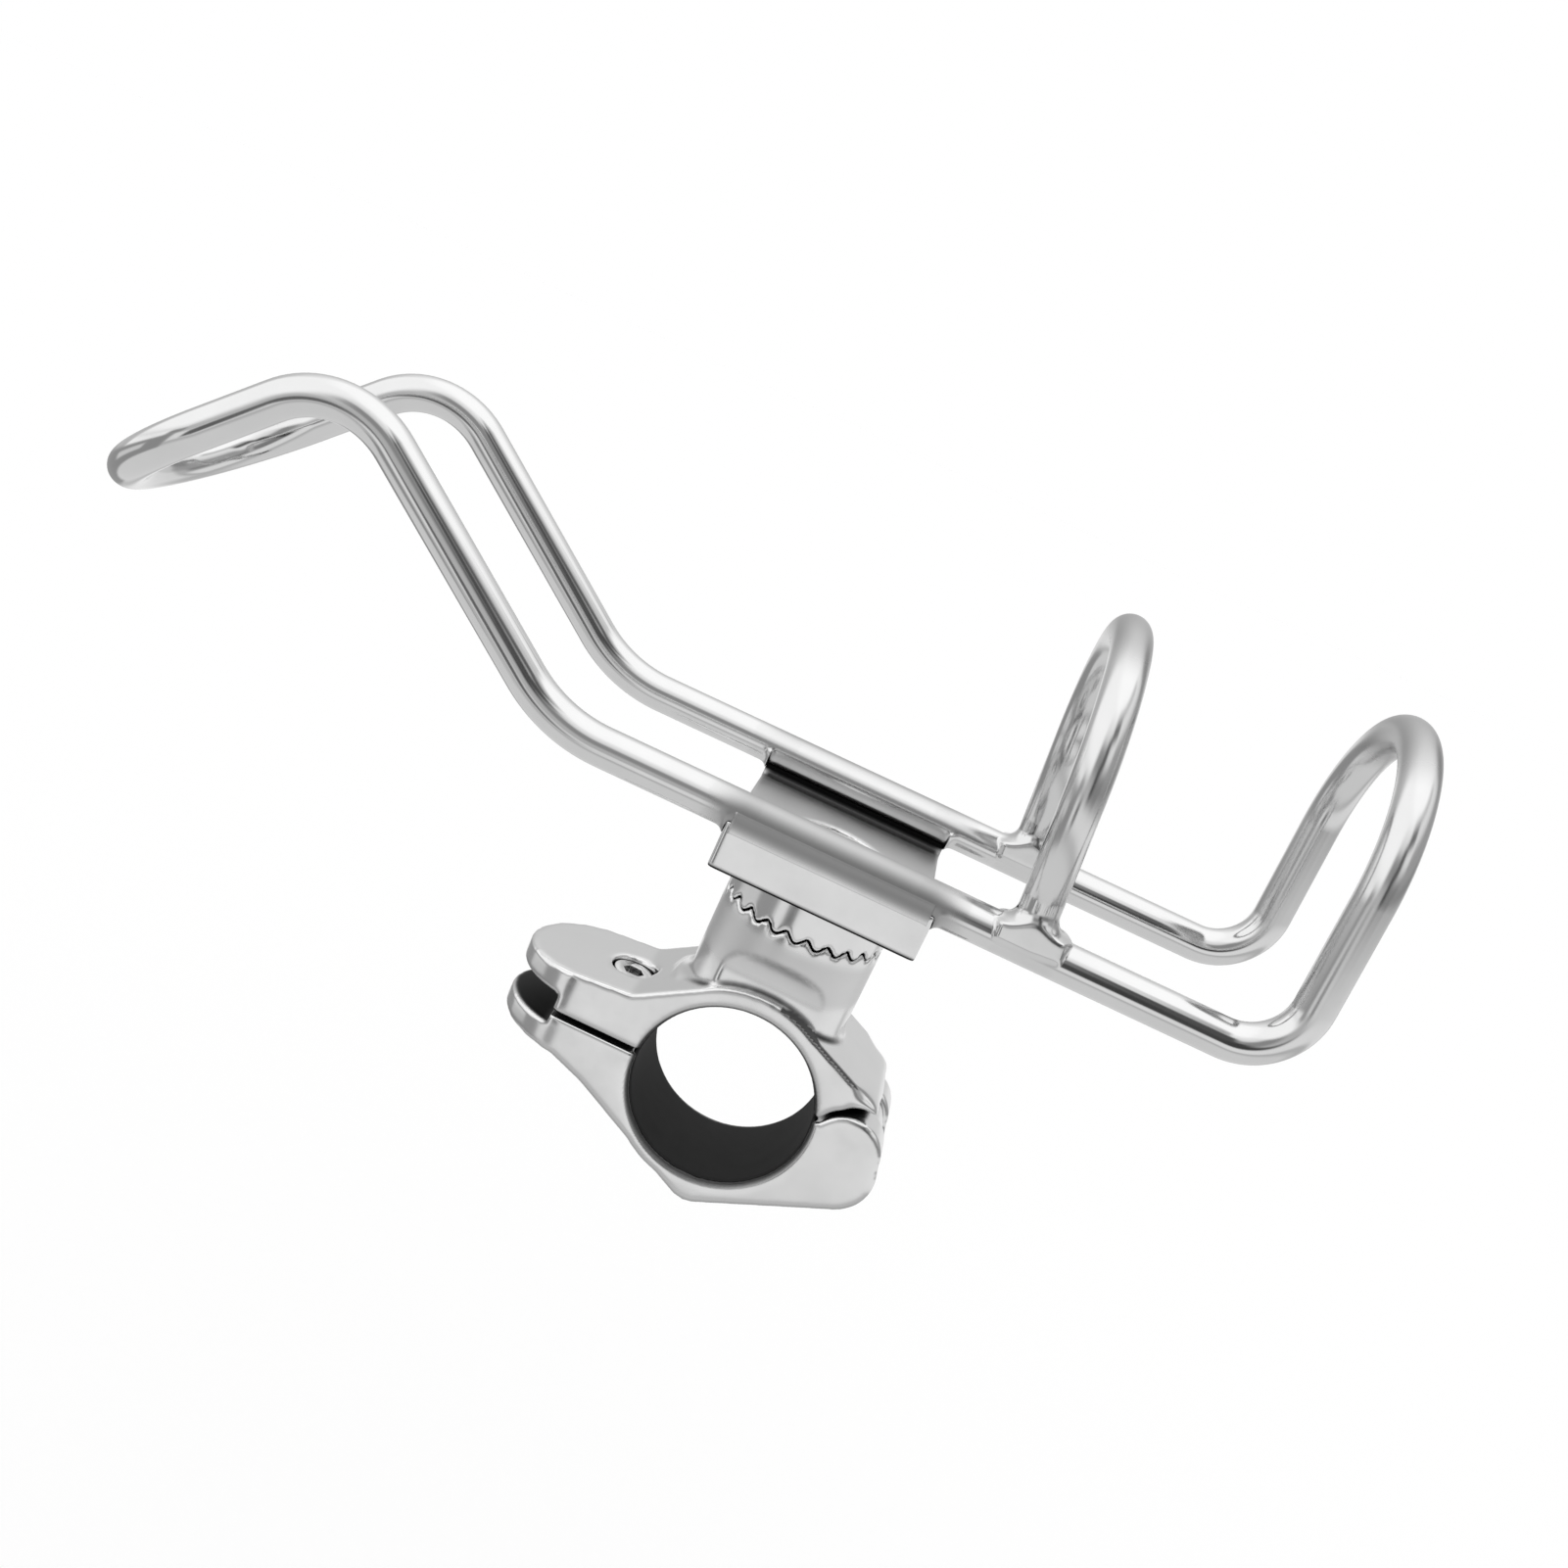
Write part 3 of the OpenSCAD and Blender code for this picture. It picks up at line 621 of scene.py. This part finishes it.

# Where the front face turns over the crown and down the shoulder, its edge is painted dark,
# as a painted dark reflection and shade: a line 0.7 mm wide that broadens by 3.6 mm beside
# the boss's foot, 67 degrees round the crown. The shoulder is the straight from the crown's
# round, where it touches, to the tip.
EDGE_LINE, EDGE_BROAD, EDGE_DEPTH, FOOT_ANGLE, LAST_ANGLE = 0.7, 3.6, 0.55, 67, 82
x, y, z = (points_of(upper_mesh) * 1000).T
touch_angle = np.arctan2(TIP_Z, TIP_X) + np.arccos(CROWN_R / np.hypot(TIP_X, TIP_Z))
touch_x, touch_z = CROWN_R * np.cos(touch_angle), CROWN_R * np.sin(touch_angle)
run = np.array([TIP_X - touch_x, TIP_Z - touch_z])
run /= np.linalg.norm(run)
above_line = (x - touch_x) * -run[1] + (z - touch_z) * run[0]
above_form = np.where(x > touch_x, above_line, np.hypot(x, z) - CROWN_R)
angle = np.degrees(np.arctan2(z, x))
broad = EDGE_LINE + EDGE_BROAD * soft_step(np.abs(angle - FOOT_ANGLE), 13, 0)
edge = soft_step(np.abs(y), JAW_HALF - broad - 0.5, JAW_HALF - broad + 0.2)
edge *= (np.abs(above_form) < EDGE_DEPTH) * (angle < LAST_ANGLE)
edge *= soft_step(x, TIP_X + 1, TIP_X - 2)
mark(upper_mesh, "skin", np.maximum(jaw_shade(upper_mesh), EDGE_SHADE * edge))
mark(upper_mesh, "dull", soft_step(z, *BOSS_FOOT) * soft_step(z, *BOSS_TOP))
finished(
    "upper_clamp_jaw",
    upper_mesh,
    "upper_clamp",
    cast_steel,
    ["upper_jaw"],
)

# The lower jaw. The hinge pin's ends are peened into the mouths of its hole and ground flush
# with the casting, so the casting's skin closes over them. A turned shape ends on its axis
# at a radius of AXIS_R, which is filled.
PIN_R, PIN_HALF, PIN_X, PIN_Z, PIN_COVER = 2.5, 14.47, 27.2, 0.6, 1.6
PLUG_R, AXIS_R = PIN_R + 0.5, 0.02


def pin_grid(y_and_r):
    """A turned shape on the hinge's axis: (PIN_X + r cos b, y, PIN_Z + r sin b)."""
    y, r = np.array(y_and_r).T[:, :, None]
    b = np.linspace(0, 2 * np.pi, 64, endpoint=False)[None, :]
    return np.stack(np.broadcast_arrays(PIN_X + r * np.cos(b), y, PIN_Z + r * np.sin(b)), -1)


plugs = []
for end in (-1, 1):
    inner, outer = end * (PIN_HALF - PIN_COVER), end * PIN_HALF
    profile = [(inner, AXIS_R), (inner, PLUG_R), (outer, PLUG_R), (outer, AXIS_R)]
    plugs.append(grid_mesh("peened_end", pin_grid(profile), False))
lower_mesh = laid_out_again("lower_clamp_jaw", "lower_jaw", JAW_VOXEL, plugs)
x, y, z = (points_of(lower_mesh) * 1000).T
crisp = ((z > PARTING_Z - 2.2) & (x < 20)) | (np.hypot(x, z) < BORE_CRISP)
relax(lower_mesh, np.where(crisp, CRISP_ROUNDS, LOWER_ROUNDS))
# Painted shade in its creases, its bore's mouth, under its lower edges and in the nose slot.
mark(lower_mesh, "skin", jaw_shade(lower_mesh))
finished(
    "lower_clamp_jaw",
    lower_mesh,
    "lower_clamp",
    cast_steel,
    ["lower_jaw"],
)


# ---- The fasteners ----------------------------------------------------------------------
# Turned stainless screws with hexagon sockets, a punched washer and a plain hinge pin. Each
# keeps its CAD shape, its sharp edges broken by a small bevel. Turned steel mirrors a little
# more sharply than the castings, and its reflections hardly waver.
fastener_steel = polished_steel(
    "turned_stainless",
    "#DADADA",
    "#D0D0D0",
    (0.12, 0.2),
    5.0,
    0.01,
    (5000.0, 5000.0, 1500.0),
    1.5,
)


def turned_piece(name, node, body, bevel_mm):
    """A copy of a CAD node, merged, with a bevel on every edge sharper than 30 degrees."""
    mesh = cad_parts[node].data.copy()
    work = bmesh.new()
    work.from_mesh(mesh)
    bmesh.ops.remove_doubles(work, verts=work.verts, dist=2e-6)
    bmesh.ops.dissolve_limit(work, angle_limit=0.02, verts=work.verts, edges=work.edges)
    work.to_mesh(mesh)
    work.free()
    mesh.polygons.foreach_set("use_smooth", np.ones(len(mesh.polygons), bool))
    piece = finished(name, mesh, body, fastener_steel, [node])
    bevel = piece.modifiers.new("broken_edges", "BEVEL")
    bevel.width = bevel_mm / 1000
    bevel.segments = 2
    bevel.limit_method = "ANGLE"
    bevel.angle_limit = 0.52
    bevel.harden_normals = True


turned_piece("centre_bolt_head", "centre_bolt", "bolt", 0.25)
turned_piece("centre_bolt_washer", "bolt_washer", "bolt", 0.2)
turned_piece("clamp_cap_screw", "clamp_screw", "screw", 0.2)

# The hinge pin is a plain turned rod with a 0.2 mm chamfer, seen only when the jaw is open.
reach = PIN_HALF - PIN_COVER - 0.02
pin_profile = [(-reach, AXIS_R), (-reach, PIN_R - 0.2), (0.2 - reach, PIN_R)]
pin_profile += [(-end, r) for end, r in reversed(pin_profile)]
grid_piece(
    "hinge_pin_rod",
    pin_grid(pin_profile),
    "lower_clamp",
    fastener_steel,
    False,
    ["hinge_pin"],
)

# ---- The rail pads ----------------------------------------------------------------------
# Two half-round liners moulded in black rubber, pressed into the bore of the jaws so that
# the clamp grips a rail without marking it. Matt and near black, with a bloom in patches
# 4.5 mm across and a grain of 0.25 mm.
PAD_VOXEL, PAD_ROUNDS = 0.32, 5
rubber, rubber_tree, rubber_out = blank_material("moulded_black_rubber")
rubber_place = add(rubber_tree, "ShaderNodeTexCoord").outputs["Object"]
bloom = add(
    rubber_tree, "ShaderNodeTexNoise", {"Vector": rubber_place, "Scale": 220, "Detail": 6}
)
rubber_colour = add(
    rubber_tree,
    "ShaderNodeMix",
    {0: bloom.outputs["Fac"], 6: linear("#1F1F1F"), 7: linear("#2A2A2A")},
    data_type="RGBA",
)
grain = add(
    rubber_tree, "ShaderNodeTexNoise", {"Vector": rubber_place, "Scale": 4000, "Detail": 2}
)
rubber_bump = add(
    rubber_tree,
    "ShaderNodeBump",
    {"Height": grain.outputs["Fac"], "Strength": 0.3, "Distance": 0.00004},
)
rubber_shader = add(
    rubber_tree,
    "ShaderNodeBsdfPrincipled",
    {
        "Base Color": rubber_colour.outputs[2],
        "Roughness": 0.78,
        "IOR": 1.52,
        "Specular IOR Level": 0.25,
        "Normal": rubber_bump.outputs["Normal"],
    },
)
rubber_tree.links.new(rubber_shader.outputs["BSDF"], rubber_out.inputs["Surface"])
for name, body in (("upper", "upper_clamp"), ("lower", "lower_clamp")):
    pad_mesh = laid_out_again(name + "_pad", name + "_rail_pad", PAD_VOXEL)
    relax(pad_mesh, PAD_ROUNDS)
    finished(name + "_pad", pad_mesh, body, rubber, [name + "_rail_pad"])

# ---- The welds --------------------------------------------------------------------------
# Fillet welds run round the hoop's feet and where the arms leave the block, dressed with a
# flap wheel and buffed with the rest, so they are smooth with a slightly duller skin.
weld_steel = polished_steel(
    "dressed_weld",
    "#D6D6D6",
    "#CDCDCD",
    (0.11, 0.18),
    6.0,
    0.04,
    (2500.0, 2500.0, 2500.0),
    1.0,
)
FOOT_VOXEL, FOOT_ROUNDS, END_VOXEL, END_ROUNDS = 0.24, 14, 0.22, 16
ARM_STUB, LEG_STUB, END_STUB = 11, 13, 9


def stub(centre_from, centre_to, across):
    """A short length of the bar to blend a weld into: 0.02 mm proud in its middle and sunk
    0.06 mm at its ends, so that it dives under the bar's own skin."""
    t = np.linspace(0, 1, 40)
    sunk = np.cos(np.pi * np.clip(np.abs(2 * t - 1) * 2 - 1, 0, 1)) * 0.04 - 0.02
    line = centre_from + t[:, None] * (centre_to - centre_from)
    along = (centre_to - centre_from) / np.linalg.norm(centre_to - centre_from)
    b = np.linspace(0, 2 * np.pi, 56, endpoint=False)[None, :, None]
    ring = across * np.cos(b) + np.cross(along, across) * np.sin(b)
    return grid_mesh("stub", line[:, None] + (ROD_R + sunk)[:, None, None] * ring, False)


stubs, arm_stubs = [], []
for side in (-1, 1):
    foot = mid_foot + side * HALF_GAUGE * SIDE
    stubs.append(stub(foot - ARM_STUB * BACK, foot + ARM_STUB * BACK, SIDE))
    stubs.append(stub(foot, foot + LEG_STUB * mid_dir, SIDE))
    for end in BLOCK_X:
        weld = np.array([end, side * HALF_GAUGE, BAR_Z])
        arm_stubs.append(stub(weld - END_STUB * BACK, weld + END_STUB * BACK, SIDE))
foot_mesh = laid_out_again("hoop_foot_welds", "hoop_welds", FOOT_VOXEL, stubs)
relax(foot_mesh, FOOT_ROUNDS)
finished("hoop_foot_welds", foot_mesh, "head", weld_steel, ["hoop_welds"])
end_mesh = laid_out_again("saddle_end_welds", "saddle_welds", END_VOXEL, arm_stubs)
relax(end_mesh, END_ROUNDS)
# The same ground satin and painted shade beside the block as on the arms.
dull, skin = ground_and_shaded_along_block(end_mesh)
mark(end_mesh, "dull", dull)
mark(end_mesh, "skin", skin)
finished("saddle_end_welds", end_mesh, "head", weld_steel, ["saddle_welds"])

# Along the block each arm is welded too, and the seam is ground flush: from the block's face
# it leans in to the bar's side, 0.03 mm proud, and both its edges dive 0.06 mm under the
# steel. SEAM_BACK, the two last points of its profile, closes it inside the block.
SEAM_LOW, SEAM_HIGH, SEAM_LEAN, SEAM_PROUD, SEAM_DIVE = 57.0, 62.4, (58.4, 61.0), 0.03, 0.09
SEAM_BACK = [[30.2, 62.0], [30.2, 57.3]]
seam_x = np.linspace(BLOCK_X[0] + 0.9, BLOCK_X[1] - 0.9, 80)
seam_z = np.linspace(SEAM_LOW, SEAM_HIGH, 28)
bar_side = HALF_GAUGE + np.sqrt(ROD_R**2 - np.clip(seam_z - BAR_Z, 0, None) ** 2)
lean = soft_step(seam_z, *SEAM_LEAN)
seam_out = SEAM_PROUD + BLOCK_Y * (1 - lean) + bar_side * lean
seam_out -= SEAM_DIVE * soft_step(seam_z, SEAM_LOW + 0.8, SEAM_LOW)
seam_out -= SEAM_DIVE * soft_step(seam_z, SEAM_HIGH - 1.0, SEAM_HIGH)
out, up = np.vstack([np.stack([seam_out, seam_z], 1), SEAM_BACK]).T
for side, where in ((-1, "near"), (1, "far")):
    seam_grid = np.stack(np.broadcast_arrays(seam_x[:, None], side * out, up), -1)
    seam = grid_piece(
        "saddle_seam_" + where, seam_grid, "head", weld_steel, False
    )
    height = points_of(seam.data)[:, 2] * 1000
    # Painted shade on the seam where it runs under the bar, strongest from 60 to 61 mm up.
    seam_shade = soft_step(height, 57.8, 60.2) * soft_step(height, 63.2, 60.8)
    mark(seam.data, "skin", 0.42 * seam_shade)
    mark(seam.data, "dull", 0.8 * soft_step(height, 57, 59))

# ---- The studio -------------------------------------------------------------------------
# A pale floor well below the holder in a white room. What the polished steel mirrors is the
# room as a photographer hangs it: a white ceiling, a white wall at the left, and grey and
# black cards that draw the dark lines along the bars.
FLOOR_Z, FLOOR_HALF = -0.25, 6.0
floor_mesh = bpy.data.meshes.new("studio_floor")
floor_corners = [
    (x * FLOOR_HALF, y * FLOOR_HALF, FLOOR_Z) for x, y in ((-1, -1), (1, -1), (1, 1), (-1, 1))
]
floor_mesh.from_pydata(floor_corners, [], [(0, 1, 2, 3)])
floor = bpy.data.objects.new("studio_floor", floor_mesh)
bpy.context.scene.collection.objects.link(floor)

# Matt painted board: white to the camera, where it keeps the holder's shadow, a shade greyer
# in the light that it throws up, and clear to what the steel mirrors.
floor_paint, floor_tree, floor_out = blank_material("pale_floor")
path = add(floor_tree, "ShaderNodeLightPath").outputs
matt = add(floor_tree, "ShaderNodeBsdfDiffuse", {"Color": linear("#E6E6E6")})
white = add(floor_tree, "ShaderNodeBsdfDiffuse", {"Color": (1, 1, 1, 1)})
room_below = add(floor_tree, "ShaderNodeBsdfTransparent")
seen = add(
    floor_tree,
    "ShaderNodeMixShader",
    {0: path["Is Camera Ray"], 1: matt.outputs[0], 2: white.outputs[0]},
)
mirrored = add(
    floor_tree,
    "ShaderNodeMixShader",
    {0: path["Is Glossy Ray"], 1: seen.outputs[0], 2: room_below.outputs[0]},
)
floor_tree.links.new(mirrored.outputs[0], floor_out.inputs["Surface"])
floor_mesh.materials.append(floor_paint)

# A direction in the room, as degrees round from the front, +90 at the right, and up.
world = bpy.data.worlds.new("white_studio")
world.use_nodes = True
bpy.context.scene.world = world
room = world.node_tree
room.nodes.clear()
room_out = add(room, "ShaderNodeOutputWorld")
direction = add(room, "ShaderNodeTexCoord").outputs["Generated"]
parts = add(room, "ShaderNodeSeparateXYZ", {"Vector": direction}).outputs
toward_front = add(room, "ShaderNodeMath", {0: parts["Y"], 1: -1.0}, operation="MULTIPLY")
round_angle = add(
    room, "ShaderNodeMath", {0: parts["X"], 1: toward_front.outputs[0]}, operation="ARCTAN2"
)
turn = add(room, "ShaderNodeMath", {0: round_angle.outputs[0]}, operation="DEGREES")
up_angle = add(room, "ShaderNodeMath", {0: parts["Z"]}, operation="ARCSINE")
rise = add(room, "ShaderNodeMath", {0: up_angle.outputs[0]}, operation="DEGREES")

# The bare room: its brightness at each height in degrees above the level.
HEIGHTS = [
    (-90, 0.84),
    (-44, 0.84),
    (-36, 0.62),
    (5, 0.60),
    (20, 0.72),
    (46, 1.15),
    (58, 1.42),
    (90, 1.46),
]
level = add(
    room, "ShaderNodeMapRange", {"Value": rise.outputs[0], "From Min": -90.0, "From Max": 90.0}
)
ramp = add(room, "ShaderNodeValToRGB", {"Fac": level.outputs[0]})
stops = ramp.color_ramp.elements
while len(stops) < len(HEIGHTS):
    stops.new(0.5)
for stop, (height, value) in zip(stops, HEIGHTS):
    stop.position = (height + 90) / 180
    stop.color = (value, value, value, 1)
light = add(room, "ShaderNodeRGBToBW", {"Color": ramp.outputs[0]}).outputs[0]

# Each card: what it is, its middle in degrees round from the front and up from the level, its
# half width and half height, how soft its edge is, and its brightness.
CARDS = [
    ("white wall at the left", -70, 30, 46, 30, 10, 1.32),
    ("pale floor behind", 172, -14, 32, 15, 5, 0.92),
    ("pale wall behind at the right", 160, 10, 17, 12, 5, 0.78),
    ("pale sheet in front", 45, -21, 85, 9, 3, 0.98),
    ("white skirting at the left", -84, -5, 28, 5, 3, 1.2),
    ("grey step at the left", -97, -26, 55, 16, 3, 0.36),
    ("white sheet on the step", -92, -22, 20, 5, 3, 0.8),
    ("dark lip of the step", -44, -6, 9, 4, 3, 0.34),
    ("dark mat in front", 32, -4, 20, 4, 4, 0.12),
    ("dark strip on the front sheet", -18, -20, 7, 8, 3, 0.16),
    ("grey edge of the ceiling", 62, 50, 42, 5, 5, 0.72),
    ("dark shelf at the right", 70, 2, 54, 8, 5, 0.28),
    ("white card above the shelf", 48, 27, 15, 9, 5, 1.02),
    ("grey wall at the right", 100, 14, 42, 12, 7, 0.44),
    ("dark door behind at the right", 134, 28, 12, 12, 5, 0.34),
    ("grey card in front", -6, 18, 15, 11, 6, 0.34),
    ("black flag, its foot", 12, 4, 7, 13, 4, 0.06),
    ("black flag, its middle", 18, 24, 9, 12, 5, 0.09),
    ("black flag, its head", 36, 40, 16, 7, 5, 0.14),
]
for _, card_turn, card_rise, half_turn, half_rise, soft, brightness in CARDS:
    offset = add(
        room, "ShaderNodeMath", {0: turn.outputs[0], 1: card_turn}, operation="SUBTRACT"
    )
    wrapped = add(
        room, "ShaderNodeMath", {0: offset.outputs[0], 1: 180.0, 2: -180.0}, operation="WRAP"
    )
    climb = add(
        room, "ShaderNodeMath", {0: rise.outputs[0], 1: card_rise}, operation="SUBTRACT"
    )
    masks = []
    for away, half in ((wrapped, half_turn), (climb, half_rise)):
        size = add(room, "ShaderNodeMath", {0: away.outputs[0]}, operation="ABSOLUTE")
        mask = add(
            room,
            "ShaderNodeMapRange",
            {"Value": size.outputs[0], "From Min": half + soft, "From Max": half - soft},
            interpolation_type="SMOOTHSTEP",
        )
        masks.append(mask.outputs["Result"])
    card = add(room, "ShaderNodeMath", {0: masks[0], 1: masks[1]}, operation="MULTIPLY")
    light = add(
        room, "ShaderNodeMix", {0: card.outputs[0], 2: light, 3: brightness}
    ).outputs[0]

# Mirror rays meet the cards; matt surfaces and the camera meet a plain white room.
mirror_room = add(room, "ShaderNodeBackground", {"Color": (1, 1, 1, 1), "Strength": light})
plain_room = add(room, "ShaderNodeBackground", {"Color": (1, 1, 1, 1), "Strength": 1.0})
room_path = add(room, "ShaderNodeLightPath").outputs
pick = add(
    room,
    "ShaderNodeMixShader",
    {0: room_path["Is Glossy Ray"], 1: plain_room.outputs[0], 2: mirror_room.outputs[0]},
)
room.links.new(pick.outputs[0], room_out.inputs["Surface"])

bpy.context.scene.view_settings.view_transform = "Standard"


# ---- Where each thing shows in the camera's image ---------------------------------------
# Each thing is found on the finished meshes: the outline's extremes, the hoops' tops, the
# middles of the round mouths, and the corners of the block and of the nose slot.
def shows_at(places):
    """Image places of points: x = W/2 + L lens/sensor right/depth, y likewise downward."""
    offset = np.atleast_2d(places) - np.array(EYE)
    scale = LONG * LENS / SENSOR / (offset @ np.array(FORWARD))
    across, up = offset @ np.array(RIGHT), offset @ np.array(UP)
    return np.stack([W / 2 + scale * across, H / 2 - scale * up], 1)


def vertices_of(*pieces):
    """All vertices of some pieces, as they are finished."""
    graph = bpy.context.evaluated_depsgraph_get()
    return np.vstack([points_of(piece.evaluated_get(graph).data) for piece in pieces])


def centre_shown(places):
    """The middle of the image box round some places."""
    seen = shows_at(places)
    return (seen.min(0) + seen.max(0)) / 2


def top_shown(places):
    """The highest of some places in the image."""
    seen = shows_at(places)
    return seen[np.argmin(seen[:, 1])]


def nearest_shown(places, target_mm):
    """Where the finished vertex nearest to a place shows."""
    nearest = np.argmin(np.linalg.norm(places * 1000 - target_mm, axis=1))
    return shows_at(places[nearest])[0]


pieces = {
    made.name: made
    for made in bpy.context.scene.objects
    if made.type == "MESH" and made is not floor and not made.hide_render
}
outline = shows_at(vertices_of(*pieces.values()))
rear = vertices_of(cradle_bar)
rear = rear[(rear[:, 0] * 1000 > REAR_HOOP_X + 5) & (rear[:, 2] > 0.09)]
block = vertices_of(saddle_block)
upper = vertices_of(pieces["upper_clamp_jaw"])
jaws = vertices_of(pieces["upper_clamp_jaw"], pieces["lower_clamp_jaw"])
# The near mouth of the bore is what lies within 0.7 mm of it on the front face. The ear's
# hole shows by its rim above the screw, and the bolt's recess by its rim round the washer.
bore_rim = jaws[(np.hypot(jaws[:, 0], jaws[:, 2]) < 0.0197) & (jaws[:, 1] < -0.0138)]
screw_low, screw_high = (np.array(corner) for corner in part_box("clamp_screw"))
screw_middle, screw_r = (screw_low + screw_high) / 2, (screw_high[0] - screw_low[0]) / 2
off_screw = np.hypot(*(upper - screw_middle)[:, :2].T)
hole_rim = upper[(off_screw < screw_r + 0.0008) & (upper[:, 2] > screw_high[2] + 0.0002)]
washer_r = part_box("bolt_washer")[1][0]
off_bolt = np.hypot(block[:, 0], block[:, 1])
recess_rim = block[(off_bolt < washer_r + 0.0009) & (block[:, 2] > 0.0545)]
slot_ends = [nearest_shown(jaws, (SLOT_X, -JAW_HALF, z)) for z in (SLOT_HIGH, SLOT_LOW)]
SHOWN = {
    "left_edge": (outline[:, 0].min(), None),
    "right_edge": (outline[:, 0].max(), None),
    "top_edge": (None, outline[:, 1].min()),
    "bottom_edge": (None, outline[:, 1].max()),
    "middle_hoop_top": top_shown(vertices_of(middle_hoop)),
    "rear_hoop_top": top_shown(rear),
    "bore_centre": centre_shown(bore_rim),
    "ear_hole": centre_shown(hole_rim),
    "nose_slot_end": np.mean(slot_ends, axis=0),
    "block_near_low_left": nearest_shown(block, (BLOCK_X[0], -BLOCK_Y, BLOCK_Z)),
    "block_near_low_right": nearest_shown(block, (BLOCK_X[1], -BLOCK_Y, BLOCK_Z)),
    "bolt_recess": centre_shown(recess_rim),
}
